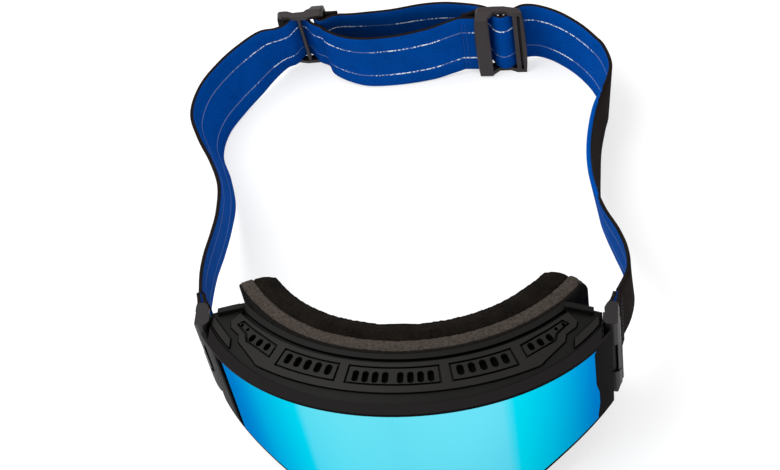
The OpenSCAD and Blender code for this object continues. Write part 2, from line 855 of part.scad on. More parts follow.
module hinge_pin(s) {
    color(steel) placed() translate([s * pin_x, pin_y, outrigger_z + over])
        cylinder(r = pin_r, h = outrigger_top - pin_cap - outrigger_z - 2 * over);
}
module left_hinge_pin() { hinge_pin(-1); }
module right_hinge_pin() { hinge_pin(1); }

// The webbing's end, folded round the outrigger's bar and sewn down on itself
module strap_tab(s) {
    color(strap_blue) placed() translate([s * bar_x, bar_y, strap_z])
        rotate([0, 0, -s * tab_a]) difference() {
            union() {
                cylinder(r = loop_r, h = strap_w);
                translate([-strap_t, 0, 0]) cube([2 * strap_t, tab_l, strap_w]);
            }
            translate([0, 0, -over]) cylinder(r = bar_r + web_play, h = strap_w + 2 * over);
        }
}
module left_strap_tab() { strap_tab(-1); }
module right_strap_tab() { strap_tab(1); }

// Routes of the webbing at mid height: X, Y, height of the lower edge, and how far the upper
// edge stands off the lower one in X and in Y
tab_end = [bar_x + (tab_l + end_gap) * sin(tab_a), bar_y + (tab_l + end_gap) * cos(tab_a)];
left_route = concat([
    [-tab_end[0], tab_end[1], strap_z, 0, 0], [-94.3, 84, 33.5, 4, 0], [-95.6, 97, 29, 5, 0],
    [-96, 113, 23, 6, 0], [-96.6, 130, 15, 5, 0], [-98.3, 150, 7.5, 2, 0], [-102.3, 168, 2.5, -4, -1],
    [-109, 185, 0.6, -8, -2], [-114.5, 200, 0, -8, -1], [-112.4, 216, 0, -7, 1],
    [-104.5, 230, 0.6, -6, 1.5], [-96.2, 239.5, 2, -4, 1], [-88.5, 247.2, 3.3, -1.5, -2]],
    [for (p = way) to_left(p)], [
    [-56, 249.2, 4, 0, -4], [-48, 246.4, 3.6, 0, -3], [-38, 245.4, slider_strap_z, 0, -2],
    [-22, 246.6, slider_strap_z, 0, -1.5], [-6, 249.6, slider_strap_z, 0, -0.5],
    [4, 252.2, slider_strap_z, 0, 0]],
    [to_right(end_way)]);
right_route = concat([
    [tab_end[0], tab_end[1], strap_z, 0, 0], [94.6, 84, 33.5, 0, 0], [94.7, 98, 28.6, -2, 0],
    [91.6, 112, 23.4, -2, 0], [87, 127, 17, -2.5, 0], [81.9, 142, 10.9, -4, 0],
    [78.9, 155, 6.2, -4, 0], [77.3, 170, 2.4, -4, 0], [77.8, 185, 0.6, -4, 0],
    [79.3, 200, 0, -2, 0], [83, 213, 0, 1, 0], [83.7, 224, 0, 3, 0], [79.8, 235, 0, 4, 0.5],
    [75.4, 241.6, 0.4, 4, -1], [68, 250.6, 1.2, 4, -1.5], [58.5, 257.8, 2.2, 3, -1],
    [49.6, 260.2, 3, 1, -0.5]],
    [for (p = way) to_right(p)], [
    [12, 263.6, slider_strap_z, 0, 0], [2, 265.8, slider_strap_z, 0, 0],
    [-9, 265.2, slider_strap_z, 0, 0], [-24, 262.8, slider_strap_z, 0, -2],
    [-36, 261.4, 3.4, 0, -4.5], [-44, 261, 3.6, 0, -6.5]],
    [to_left(end_way)]);

// A smooth curve through the route's points, with a fixed number of steps from each to the next
steps = 3;
function pick(r, i) = r[max(0, min(len(r) - 1, i))];
function blend(p0, p1, p2, p3, t) =
    0.5 * (2 * p1 + (p2 - p0) * t + (2 * p0 - 5 * p1 + 4 * p2 - p3) * t * t
        + (3 * p1 - p0 - 3 * p2 + p3) * t * t * t);
function smooth(r) = concat(
    [for (i = [0:len(r) - 2]) for (k = [0:steps - 1])
        blend(pick(r, i - 1), r[i], r[i + 1], pick(r, i + 2), k / steps)],
    [r[len(r) - 1]]);
function heading(c, i) = let (d = pick(c, i + 1) - pick(c, i - 1)) [d[0], d[1], 0] / norm([d[0], d[1]]);

// Four corners of the webbing at each step: outer low, outer top, inner top, inner low
function section(p, dir, side) =
    let (half = side * strap_t / 2 * [dir[1], -dir[0], 0], lean = [p[3], p[4], 0] / 2,
        rise = sqrt(strap_w * strap_w - p[3] * p[3] - p[4] * p[4]), at = [p[0], p[1], max(0, p[2])])
    [at - lean + half, at + lean + half + [0, 0, rise],
        at + lean - half + [0, 0, rise], at - lean - half];
function corners(route, side) =
    let (c = smooth(route))
    [for (i = [0:len(c) - 1]) each section(c[i], heading(c, i), side)];

module webbing(route, side) {
    pts = corners(route, side);
    n = len(pts) / 4;
    faces = concat(
        [for (i = [0:n - 2]) for (k = [0:3]) each
            let (a = 4 * i + k, b = 4 * i + (k + 1) % 4, c = b + 4, d = a + 4)
            side > 0 ? [[a, b, c], [a, c, d]] : [[c, b, a], [d, c, a]]],
        side > 0 ? [[2, 1, 0], [3, 2, 0]] : [[0, 1, 2], [0, 2, 3]],
        let (m = 4 * n - 4)
        side > 0 ? [[m, m + 1, m + 2], [m, m + 2, m + 3]] : [[m + 2, m + 1, m], [m + 3, m + 2, m]]);
    polyhedron(points = pts, faces = faces, convexity = 10);
}
module left_strap() { color(strap_blue) placed() webbing(left_route, -1); }
module right_strap() { color(strap_blue) placed() webbing(right_route, 1); }

// A slider in its own frame: X along the webbing, the cover bar on the +Y side, Z up.
// The webbing it rides on goes behind the cover and end bars and over the middle bar.
module slider_body() {
    half = half_l;
    bevel = 0.9;
    end_top = end_bar_at + bar_t;
    cover_top = cover_at + bar_t;
    edge = cover_w - half; // the cover bar's edge on the side of the middle bar
    rail = [[-half, 0.4], [1.4 - half, rail_front + 0.5], [mid_bar[0] - 4, rail_front],
        [mid_bar[0] + 1.5, rail_front], [half - 3, rail_front + 1.4], [half, end_bar_at + 0.4],
        [half, end_top - 0.6], [half - 0.6, end_top], [half - end_bar_w, end_top],
        [mid_bar[0] + 2.5, 1.4], [mid_bar[0] - 3, 1.6], [edge, cover_at + 0.5],
        [edge, cover_top - bevel], [edge - bevel, cover_top], [bevel - half, cover_top],
        [-half, cover_top - bevel]];
    cover = [[-half, cover_at], [-half, cover_top - bevel], [bevel - half, cover_top],
        [edge - bevel, cover_top], [edge, cover_top - bevel], [edge, cover_at]];
    end = [[half - end_bar_w, end_bar_at], [half - end_bar_w, end_top],
        [half - 3.4, end_top], [half - 3, end_bar_at + bar_t / 2],
        [half - 2.4, end_bar_at + bar_t / 2], [half - 2, end_top],
        [half - 0.6, end_top], [half, end_top - 0.6], [half, end_bar_at]];
    intersection() {
        union() {
            for (z = [0, slider_h - rail_t])
                translate([0, 0, z]) linear_extrude(height = rail_t) polygon(rail);
            translate([0, 0, rail_t / 2]) linear_extrude(height = slider_h - rail_t) {
                polygon(cover);
                polygon(end);
                translate(mid_bar) circle(r = bar_t / 2);
                translate([rod_u, 0]) circle(r = rod_r);
            }
        }
        slider_side();
        slider_front();
    }
}

// Side view of a slider, along the webbing: the cover bar's upper edge slopes back to the rail.
module slider_side() {
    front = cover_at + bar_t;
    foot = 1.2;
    slope = 2.6;
    rotate([90, 0, 90]) translate([0, 0, -slider_l]) linear_extrude(height = 2 * slider_l)
        polygon([[rail_front - over, 0], [front - foot, 0], [front, foot], [front + over, foot],
            [front + over, slider_h - slope - foot], [front, slider_h - slope],
            [2 * foot, slider_h], [rail_front - over, slider_h]]);
}

// Front view of a slider: its ends bow out, and the corners are cut.
module slider_front() {
    bow = [[0.8, 0], [0.3, 6], [0, 16], [0, 30], [0.5, slider_h - 5], [1.1, slider_h - 1.6], [2.4, slider_h]];
    rotate([90, 0, 0]) translate([0, 0, -slider_l]) linear_extrude(height = 2 * slider_l)
        polygon(concat([for (p = bow) [half_l - p[0], p[1]]],
            [for (i = [len(bow) - 1:-1:0]) [bow[i][0] - half_l, bow[i][1]]]));
}

// Put something in a slider's frame where that slider is. The left one leans inward about
// its length and stands on its lower inner edge.
module in_left_slider() {
    translate([left_slider_at[0], left_slider_at[1], left_stand]) rotate([0, 0, left_slider_turn])
        rotate([left_slider_lean, 0, 0]) mirror([1, 0, 0]) translate([0, 0, -slider_h / 2]) children();
}
module in_right_slider() {
    translate([right_slider_at[0], right_slider_at[1], 0]) mirror([0, 1, 0]) children();
}
module left_slider() { color(clip_grey) placed() in_left_slider() slider_body(); }
module right_slider() { color(clip_grey) placed() in_right_slider() slider_body(); }

// The end of the other strap, folded round the slider's rod and sewn down on itself
module sewn_end() {
    translate([rod_u, 0, slider_strap_z]) difference() {
        union() {
            cylinder(r = rod_loop_r, h = strap_w);
            translate([-end_l, end_off - strap_t, 0]) cube([end_l, 2 * strap_t, strap_w]);
        }
        translate([0, 0, -over]) cylinder(r = rod_r + web_play, h = strap_w + 2 * over);
    }
}
module left_strap_end() { color(strap_blue) placed() in_right_slider() sewn_end(); }
module right_strap_end() { color(strap_blue) placed() in_left_slider() sewn_end(); }

// The whole object's middle, from the reach of the straps and the front of the lens
function reach(pts, axis) = [min([for (p = pts) p[axis]]), max([for (p = pts) p[axis]])];
left_pts = corners(left_route, -1);
right_pts = corners(right_route, 1);
mid_x = (reach(left_pts, 0)[0] + reach(right_pts, 0)[1]) / 2;
slider_back = left_slider_at[1] + half_l * sin(left_slider_turn) + cos(left_slider_turn)
    * ((cover_at + bar_t) * cos(left_slider_lean) + slider_h / 2 * sin(left_slider_lean));
mid_y = max(slider_back, reach(left_pts, 1)[1], reach(right_pts, 1)[1]) / 2;

outer_lens();
inner_lens();
lens_gasket();
lens_rim();
lens_magnets();
frame();
frame_magnets();
vent_panel();
top_vent_foam();
bottom_vent_foam();
left_end_plate();
right_end_plate();
face_frame();
base_foam();
mid_foam();
face_fleece();
left_outrigger();
right_outrigger();
left_hinge_pin();
right_hinge_pin();
left_strap_tab();
right_strap_tab();
left_strap();
right_strap();
left_strap_end();
right_strap_end();
left_slider();
right_slider();
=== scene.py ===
# %% [markdown]
# # Snow goggles with a mirrored lens
# The goggles stand on the lower edge of their frame, and the strap loop stands behind them on its
# edge. The hard parts come from the CAD model and get better materials here. The soft parts, which
# are foam, fleece and webbing, are made again as what they are. All sizes are worked out in
# millimetres and handed to Blender in metres.

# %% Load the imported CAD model
import math

import bpy
from mathutils import Matrix, Vector, noise


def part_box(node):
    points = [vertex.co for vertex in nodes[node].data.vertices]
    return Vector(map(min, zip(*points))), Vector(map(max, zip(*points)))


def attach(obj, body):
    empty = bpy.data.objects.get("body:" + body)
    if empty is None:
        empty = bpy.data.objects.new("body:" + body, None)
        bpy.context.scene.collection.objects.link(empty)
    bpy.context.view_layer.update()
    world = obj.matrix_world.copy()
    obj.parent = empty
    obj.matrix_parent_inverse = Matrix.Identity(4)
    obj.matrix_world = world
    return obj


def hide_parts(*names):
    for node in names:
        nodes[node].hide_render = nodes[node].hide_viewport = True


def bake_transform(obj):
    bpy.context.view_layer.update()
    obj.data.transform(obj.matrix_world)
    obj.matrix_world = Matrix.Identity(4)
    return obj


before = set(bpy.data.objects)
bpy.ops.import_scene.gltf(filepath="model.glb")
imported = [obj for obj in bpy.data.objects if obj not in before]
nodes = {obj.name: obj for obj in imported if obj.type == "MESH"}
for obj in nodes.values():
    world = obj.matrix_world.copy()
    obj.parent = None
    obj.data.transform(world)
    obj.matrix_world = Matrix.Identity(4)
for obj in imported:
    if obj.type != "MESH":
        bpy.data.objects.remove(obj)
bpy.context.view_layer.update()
scene = bpy.context.scene
MM = 0.001

# %% [markdown]
# ## A ruler in the goggles' own frame
# It is easier to think from the middle of the lens: x is the distance from the middle plane, y the
# distance behind the front of the lens, and z the height above the floor. The two hinge pins give
# the middle plane, and the lens gives the front.

# %% The ruler
pins = [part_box("left_hinge_pin"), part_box("right_hinge_pin")]
middle_x = sum(low.x + high.x for low, high in pins) / 4
lens_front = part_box("outer_lens")[0].y
pin_x = (pins[1][0].x + pins[1][1].x) / 2 / MM - middle_x / MM
pin_y = ((pins[1][0].y + pins[1][1].y) / 2 - lens_front) / MM


def at(x, y, z=0.0):
    """A place in metres from millimetres off the middle plane, behind the lens and above the floor."""
    return Vector((middle_x + x * MM, lens_front + y * MM, z * MM))


print("hinge pins at x =", round(pin_x, 1), "mm, y =", round(pin_y, 1), "mm")

# %% [markdown]
# ## The camera first
# The camera stands well back with a long lens, looks down at 55 degrees, a little from the right,
# and is rolled by 12 degrees. A long lens keeps the frame's brow and the far strap at nearly the
# same scale, as in a catalogue picture. Its three directions are worked out as vectors and put into
# one matrix, which is plainer than three rotations in a row.

# %% Camera
AZIMUTH, ELEVATION, ROLL = (math.radians(a) for a in (13.74, 55, 11.83))
TARGET, DISTANCE = (-6.0, 87.7, 95.0), 855.0
FOCAL_PIXELS, PICTURE_PIXELS = 2000, 780
camera_data = bpy.data.cameras.new("catalogue camera")
camera_data.sensor_width = 36
camera_data.lens = FOCAL_PIXELS * camera_data.sensor_width / PICTURE_PIXELS
camera_data.clip_end = 20
camera = bpy.data.objects.new("catalogue camera", camera_data)
scene.collection.objects.link(camera)
ahead = math.cos(ELEVATION)
back = Vector((math.sin(AZIMUTH) * ahead, -math.cos(AZIMUTH) * ahead, math.sin(ELEVATION)))
level = Vector((math.cos(AZIMUTH), math.sin(AZIMUTH), 0))
rise = back.cross(level)
right = level * math.cos(ROLL) - rise * math.sin(ROLL)
up = level * math.sin(ROLL) + rise * math.cos(ROLL)
turn = Matrix((right, up, back)).transposed().to_4x4()
camera.matrix_world = Matrix.Translation(at(*TARGET) + back * (DISTANCE * MM)) @ turn
scene.camera = camera
print("camera at", [round(c, 3) for c in camera.matrix_world.translation])

# %% [markdown]
# ## Helpers for materials
# Colours are written as sRGB hex, because that is what a paint or cloth swatch is given in, and one
# function turns them into the linear values that Blender mixes. One function adds a node with its
# settings and its links, so that a material reads as a list of what feeds what.

# %% Colour helper


def linear(hex_colour):
    """Linear RGBA from an sRGB hex colour such as '#00469e'."""
    parts = [int(hex_colour[i:i + 2], 16) / 255 for i in (1, 3, 5)]
    return tuple(c / 12.92 if c <= 0.04045 else ((c + 0.055) / 1.055) ** 2.4 for c in parts) + (1.0,)


print("half grey #808080 is", round(linear("#808080")[0], 3), "in linear light")

# %% Node helpers


def plug(tree, node, **inputs):
    """Set or link a node's inputs, named by socket with _ for a space, or by number as i0, i1."""
    for name, value in inputs.items():
        numbered = name[1:].isdigit()
        socket = node.inputs[int(name[1:])] if numbered else node.inputs[name.replace("_", " ")]
        if isinstance(value, bpy.types.NodeSocket):
            tree.links.new(value, socket)
        else:
            socket.default_value = value


def add(tree, kind, settings=None, **inputs):
    """Add a shader node, with settings that go on the node itself and inputs as in plug."""
    node = tree.nodes.new("ShaderNode" + kind)
    for name, value in (settings or {}).items():
        setattr(node, name, value)
    plug(tree, node, **inputs)
    return node


def new_material(name):
    """A material with one Principled shader, and the tree and shader to work on."""
    material = bpy.data.materials.new(name)
    material.use_nodes = True
    tree = material.node_tree
    tree.nodes.clear()
    shader = add(tree, "BsdfPrincipled")
    add(tree, "OutputMaterial", Surface=shader.outputs["BSDF"])
    return material, tree, shader


def set_colour_ramp(ramp_node, stops):
    """Fill a colour ramp with (position, hex colour) stops."""
    ramp = ramp_node.color_ramp
    while len(ramp.elements) > 1:
        ramp.elements.remove(ramp.elements[-1])
    ramp.elements[0].position, ramp.elements[0].color = stops[0][0], linear(stops[0][1])
    for position, colour in stops[1:]:
        ramp.elements.new(position).color = linear(colour)


def wear(material, *names):
    """Give these CAD nodes this material alone."""
    for name in names:
        nodes[name].data.materials.clear()
        nodes[name].data.materials.append(material)


print("helpers for nodes, ramps and materials")

# %% [markdown]
# ## Moulded plastics
# The frame is flexible thermoplastic polyurethane with a fine spark-eroded grain, about 0.2 mm,
# which turns highlights soft. The vent panel is ABS with a smoother satin surface. The clips and
# sliders are acetal, a harder grey plastic with a waxy sheen. The grain is far finer than a mesh
# could hold, so it is a bump. Edges of mouldings are never sharp, so each material rounds the light
# over an edge by a fraction of a millimetre with a Bevel node. Shade is painted into the colour: an
# Ambient Occlusion node darkens what lies near a neighbouring wall, in grooves and between parts.

# %% Painted shade in grooves
MOULDING_REACH, RIM_REACH = 2.2, 1.2


def painted_groove_shade(tree, reach):
    """Painted shade: a tone from 1 in the open to almost 0 in a groove, where walls are within reach mm."""
    crevice = add(tree, "AmbientOcclusion", {"samples": 6}, Distance=reach * MM)
    tone = add(tree, "MapRange", Value=crevice.outputs["AO"], From_Min=0.55, From_Max=0.95, To_Min=0.02)
    return tone.outputs["Result"]


print("grooves darken within", MOULDING_REACH, "mm of a wall")

# %% Satin mouldings


def moulded_plastic(name, colour, roughness, grain, depth, edge, specular):
    """A satin moulding: base colour, roughness, grain size and depth in mm, edge rounding in mm and
    how strongly it reflects."""
    material, tree, shader = new_material(name)
    place = add(tree, "TexCoord").outputs["Object"]
    fine = add(tree, "TexNoise", Vector=place, Scale=1 / (grain * MM), Detail=2.0, Roughness=0.6)
    cloudy = add(tree, "TexNoise", Vector=place, Scale=1 / (18 * MM), Detail=3.0).outputs["Fac"]
    rounded = add(tree, "Bevel", {"samples": 4}, Radius=edge * MM)
    bump = add(tree, "Bump", Height=fine.outputs["Fac"], Distance=depth * MM, Strength=0.8,
               Normal=rounded.outputs["Normal"])
    patchy = add(tree, "MapRange", Value=cloudy, To_Min=0.85, To_Max=1.2).outputs["Result"]
    # Painted shade: the colour darkens near a neighbouring wall, in grooves and between parts.
    tone = add(tree, "Math", {"operation": "MULTIPLY"}, i0=patchy, i1=painted_groove_shade(tree, MOULDING_REACH))
    shade = add(tree, "Mix", {"data_type": "RGBA", "blend_type": "MULTIPLY"}, i0=1.0,
                i6=linear(colour), i7=tone.outputs[0])
    gloss = add(tree, "MapRange", Value=cloudy, To_Min=roughness - 0.06, To_Max=roughness + 0.06)
    plug(tree, shader, Base_Color=shade.outputs[2], Roughness=gloss.outputs["Result"],
         Normal=bump.outputs["Normal"], Specular_IOR_Level=specular)
    return material


frame_polyurethane = moulded_plastic("grained polyurethane moulding", "#100f0e", roughness=0.5,
                                     grain=0.25, depth=0.02, edge=0.4, specular=0.09)
vent_abs = moulded_plastic("satin ABS moulding", "#161513", roughness=0.45,
                           grain=0.3, depth=0.012, edge=0.35, specular=0.13)
clip_acetal = moulded_plastic("grey acetal moulding", "#1c1919", roughness=0.4,
                              grain=0.35, depth=0.015, edge=0.5, specular=0.2)
slider_acetal = moulded_plastic("black acetal moulding", "#2e2829", roughness=0.4,
                                grain=0.35, depth=0.015, edge=0.6, specular=0.16)
wear(frame_polyurethane, "frame", "face_frame")
wear(vent_abs, "vent_panel", "left_end_plate", "right_end_plate")
wear(clip_acetal, "left_outrigger", "right_outrigger")
wear(slider_acetal, "left_slider", "right_slider")
print("four satin mouldings")

# %% [markdown]
# ## The polished lens rim
# The rim is polished black polycarbonate, and the eye takes it as a deep black line. In a white
# studio a full reflection would turn it grey, so the reflection is turned almost off here and a dark
# colour carries it. A highlight is painted on its upward faces, which are a little paler than its
# sides, as the direction that the surface faces picks the tone. Shade is painted in its grooves too.

# %% Polished rim
rim_polycarbonate, tree, shader = new_material("polished black polycarbonate")
place = add(tree, "TexCoord").outputs["Object"]
hairline = add(tree, "TexNoise", Vector=place, Scale=1 / (1.5 * MM), Detail=4.0)
rounded = add(tree, "Bevel", {"samples": 4}, Radius=0.3 * MM)
polish = add(tree, "MapRange", Value=hairline.outputs["Fac"], To_Min=0.3, To_Max=0.4)
facing = add(tree, "SeparateXYZ", Vector=add(tree, "NewGeometry").outputs["Normal"])
# Painted highlight: faces that look upward take the paler of the two colours.
painted_top_highlight = add(tree, "MapRange", Value=facing.outputs["Z"], From_Min=0.4, From_Max=0.8)
shade = add(tree, "Mix", {"data_type": "RGBA"}, i0=painted_top_highlight.outputs["Result"],
            i6=linear("#0c0b0d"), i7=linear("#1d1b1b"))
# Painted shade: darker near a neighbouring wall, in grooves and gaps between parts.
shade = add(tree, "Mix", {"data_type": "RGBA", "blend_type": "MULTIPLY"}, i0=1.0,
            i6=shade.outputs[2], i7=painted_groove_shade(tree, RIM_REACH))
plug(tree, shader, Base_Color=shade.outputs[2], Roughness=polish.outputs["Result"],
     Normal=rounded.outputs["Normal"], IOR=1.58, Specular_IOR_Level=0.002)
wear(rim_polycarbonate, "lens_rim")
print("one polished rim")

# %% [markdown]
# ## The mirror coat
# The lens is polycarbonate with a thin-film mirror. Across the cylinder its colour runs from pale
# cyan in the middle, through cyan, to a deeper blue at the sides. The ramp is partly the coat's own
# colour and partly a painted reflection: its pale, flat middle stands in for the studio's light
# reflected in the lens. On one side the lens also has a black printed margin. A real thin film could
# be worked out from its thickness, but a ramp across the width of the lens, in millimetres, is easier
# to steer. It is a metal coat, so it is fully metallic and nearly smooth.

# %% Mirror lens
# Colours by x in mm. The pale middle, from -38 to 44 mm, is a painted reflection of studio light.
FILM_AND_PAINTED_REFLECTION_COLOURS = [
    (-84, "#040405"), (-76.8, "#040405"), (-76, "#0c8ab4"), (-70, "#06b2cc"), (-60, "#00d4de"),
    (-46, "#00e0e4"), (-38, "#84e6e6"), (0, "#74d8e2"), (44, "#76dce8"), (51, "#00dae6"),
    (62, "#00cde4"), (72, "#00b8de"), (80, "#009ed6")]
MARGIN = -76.4
first_x, last_x = FILM_AND_PAINTED_REFLECTION_COLOURS[0][0], FILM_AND_PAINTED_REFLECTION_COLOURS[-1][0]
mirror_coat, tree, shader = new_material("blue mirror coat on polycarbonate")
place = add(tree, "TexCoord").outputs["Object"]
across = add(tree, "SeparateXYZ", Vector=place).outputs["X"]
share = add(tree, "MapRange", Value=across, From_Min=at(first_x, 0).x, From_Max=at(last_x, 0).x)
film = add(tree, "ValToRGB", Fac=share.outputs["Result"])
set_colour_ramp(film, [((x - first_x) / (last_x - first_x), colour) for x, colour in FILM_AND_PAINTED_REFLECTION_COLOURS])
coated = add(tree, "Math", {"operation": "GREATER_THAN"}, i0=share.outputs["Result"],
             i1=(MARGIN - first_x) / (last_x - first_x))
tint = add(tree, "Mix", {"data_type": "RGBA"}, i0=coated.outputs[0],
           i6=linear("#000000"), i7=linear("#2f9fe0"))
smear = add(tree, "TexNoise", Vector=place, Scale=1 / (22 * MM), Detail=2.0)
gloss = add(tree, "MapRange", Value=smear.outputs["Fac"], To_Min=0.05, To_Max=0.1)
plug(tree, shader, Base_Color=film.outputs["Color"], Roughness=gloss.outputs["Result"],
     Metallic=1.0, Specular_Tint=tint.outputs[2])
wear(mirror_coat, "outer_lens")
print("mirror coat with", len(FILM_AND_PAINTED_REFLECTION_COLOURS), "colours over", last_x - first_x, "mm")

# %% [markdown]
# ## Inner parts
# The inner lens is clear cellulose with a light amber tint, seen from the wearer's side. The gasket
# is closed-cell foam rubber, and the magnets and pins are plain nickel-plated steel, brushed a
# little. The lens is a smooth sheet and needs no pattern. The others hardly show, so each gets one
# pattern of the right size and no more.

# %% Inner lens, gasket and steel
inner_acetate, tree, shader = new_material("tinted cellulose acetate sheet")
plug(tree, shader, Base_Color=linear("#b98a5a"), Roughness=0.06, IOR=1.48, Transmission_Weight=0.75)
wear(inner_acetate, "inner_lens")

gasket_rubber, tree, shader = new_material("closed-cell foam rubber")
place = add(tree, "TexCoord").outputs["Object"]
cells = add(tree, "TexVoronoi", Vector=place, Scale=1 / (0.5 * MM))
bump = add(tree, "Bump", Height=cells.outputs["Distance"], Distance=0.1 * MM, Strength=0.6)
plug(tree, shader, Base_Color=linear("#1a1918"), Roughness=0.85, Normal=bump.outputs["Normal"])
wear(gasket_rubber, "lens_gasket")

plated_steel, tree, shader = new_material("nickel-plated steel")
place = add(tree, "TexCoord").outputs["Object"]
brushed = add(tree, "TexNoise", Vector=place, Scale=1 / (0.6 * MM), Detail=2.0)
polish = add(tree, "MapRange", Value=brushed.outputs["Fac"], To_Min=0.22, To_Max=0.4)
plug(tree, shader, Base_Color=linear("#b9b5ae"), Roughness=polish.outputs["Result"], Metallic=1.0)
wear(plated_steel, "lens_magnets", "frame_magnets", "left_hinge_pin", "right_hinge_pin")
print("acetate, foam rubber and steel")

# %% [markdown]
# ## Foam and fleece
# The face foam is three layers glued together: a firm black base, a grey open-cell layer, and a
# thick layer faced with brushed polyester fleece. Foam is full of cells of about half a millimetre,
# and its cut face is mottled in patches of about twice that, drawn so because single cells are too
# fine to show. The fleece is a short pile, so it is fully rough, with clumps just under a millimetre.

# %% Foam and fleece materials


def cell_foam(name, dark, light, cell, depth):
    """Open-cell foam: two tones, cell size in mm and depth of the cells in mm."""
    material, tree, shader = new_material(name)
    place = add(tree, "TexCoord").outputs["Object"]
    cells = add(tree, "TexVoronoi", Vector=place, Scale=1 / (cell * MM))
    mottled = add(tree, "TexNoise", Vector=place, Scale=1 / (1.1 * MM), Detail=3.0, Roughness=0.75)
    tone = add(tree, "ValToRGB", Fac=mottled.outputs["Fac"])
    set_colour_ramp(tone, [(0.3, dark), (0.7, light)])
    bump = add(tree, "Bump", Height=cells.outputs["Distance"], Distance=depth * MM, Strength=1.0)
    plug(tree, shader, Base_Color=tone.outputs["Color"], Roughness=0.95, Normal=bump.outputs["Normal"],
         Specular_IOR_Level=0.06)
    return material


def brushed_fleece(name, dark, light, pile):
    """Brushed fleece: two tones and the size of a clump of pile in mm."""
    material, tree, shader = new_material(name)
    place = add(tree, "TexCoord").outputs["Object"]
    clumps = add(tree, "TexNoise", Vector=place, Scale=1 / (pile * MM), Detail=6.0, Roughness=0.75)
    patches = add(tree, "TexNoise", Vector=place, Scale=1 / (7 * MM), Detail=2.0)
    mixed = add(tree, "Math", {"operation": "MULTIPLY_ADD"}, i0=patches.outputs["Fac"], i1=0.35,
                i2=clumps.outputs["Fac"])
    tone = add(tree, "ValToRGB", Fac=mixed.outputs[0])
    set_colour_ramp(tone, [(0.52, dark), (0.82, light)])
    bump = add(tree, "Bump", Height=clumps.outputs["Fac"], Distance=0.5 * MM, Strength=1.0)
    plug(tree, shader, Base_Color=tone.outputs["Color"], Roughness=1.0, Normal=bump.outputs["Normal"],
         Specular_IOR_Level=0.05, Sheen_Weight=0.01, Sheen_Roughness=0.5)
    return material


base_polyurethane = cell_foam("black open-cell polyurethane", "#0b0a09", "#171513", 0.5, 0.12)
grey_polyurethane = cell_foam("grey open-cell polyurethane", "#272320", "#463f3a", 0.5, 0.1)
filter_foam = cell_foam("reticulated filter foam", "#040404", "#0c0c0b", 1.2, 0.6)
face_fleece = brushed_fleece("brushed polyester fleece", "#020202", "#1a1510", 0.7)
print("three foams and a fleece")

# %% [markdown]
# ## How foam leaves its drawn place
# Foam gives. The stack has sprung back from the curve that the CAD gives it, most at the temples. At
# the right temple it is pressed down over its corner, and at the left temple the base layer draws in
# behind the grey one. A cloth simulation could find such shapes, but here they are known, so three
# small functions move the points of a layer straight to them.

# %% Sprung back
# Each row is a depth behind the front of the grey layer, and how far the foam has moved in x and y
# there at the left temple, the middle and the right temple, all in mm.
SPRING_BACK = [
    (-2.0, (0.0, 0.0), (0.0, 0.0), (0.8, 0.6)), (0.0, (1.6, 0.6), (0.0, 0.4), (1.7, 1.4)),
    (4.5, (2.2, 1.6), (0.0, 1.3), (1.2, 2.6)), (12.6, (3.2, 2.5), (0.0, 2.9), (0.0, 4.4))]
# The layers' plan curve: where it starts, what it rises over its half width, its power, and its slope
# at the half width.
PLAN_START, PLAN_RISE, PLAN_HALF_WIDTH, PLAN_POWER, PLAN_SLOPE = 30.8, 28.2, 64, 2.25, 0.99
TEMPLE_FROM, TEMPLE_OVER = 25, 45


def smooth_step(value):
    """0 up to 0, 1 from 1, and a smooth turn between them."""
    value = max(0.0, min(1.0, value))
    return value * value * (3 - 2 * value)


def depth_in_foam(x, y):
    """How deep a place lies behind the front of the grey layer, which follows a power curve in plan."""
    reach = abs(x) / PLAN_HALF_WIDTH
    slope = PLAN_SLOPE * reach ** (PLAN_POWER - 1)
    return (y - PLAN_START - PLAN_RISE * reach ** PLAN_POWER) / math.sqrt(1 + slope ** 2)


def spring_back(points):
    """Move the points of a foam layer by the table above."""
    for point in points:
        x, y = (point.x - middle_x) / MM, (point.y - lens_front) / MM
        depth = depth_in_foam(x, y)
        row = max(k for k in range(len(SPRING_BACK) - 1) if k == 0 or depth >= SPRING_BACK[k][0])
        low, high = SPRING_BACK[row], SPRING_BACK[row + 1]
        share = max(0.0, min(1.0, (depth - low[0]) / (high[0] - low[0])))
        temple = smooth_step((abs(x) - TEMPLE_FROM) / TEMPLE_OVER)
        side = 1 if x < 0 else 3
        for axis in (0, 1):
            edge = low[side][axis] * (1 - share) + high[side][axis] * share
            centre = low[2][axis] * (1 - share) + high[2][axis] * share
            point[axis] += (centre * (1 - temple) + edge * temple) * MM


print("the foam springs back by up to", max(move[1] for move in SPRING_BACK[-1][1:]), "mm")

# %% Pressed corner and tucked end
PRESSED_FROM, PRESSED_OVER = 50, 10
TUCKED_ABOVE, TUCKED_OVER, TUCKED_SINK = 50, 6, 0.9


def press_corner(points, radius):
    """Round the right temple's upper corner of a foam layer, behind the frame: radius in mm."""
    edge = max(p.x for p in points)
    top = max(p.z for p in points if p.x > edge - 2 * MM)
    centre_x, centre_z = edge - radius * MM, top - radius * MM
    for point in points:
        behind = max(0.0, min(1.0, ((point.y - lens_front) / MM - PRESSED_FROM) / PRESSED_OVER))
        dx, dz = point.x - centre_x, point.z - centre_z
        if dx > 0 and dz > 0:
            share = 1 + (max(dx, dz) / math.hypot(dx, dz) - 1) * behind
            point.x, point.z = centre_x + dx * share, centre_z + dz * share


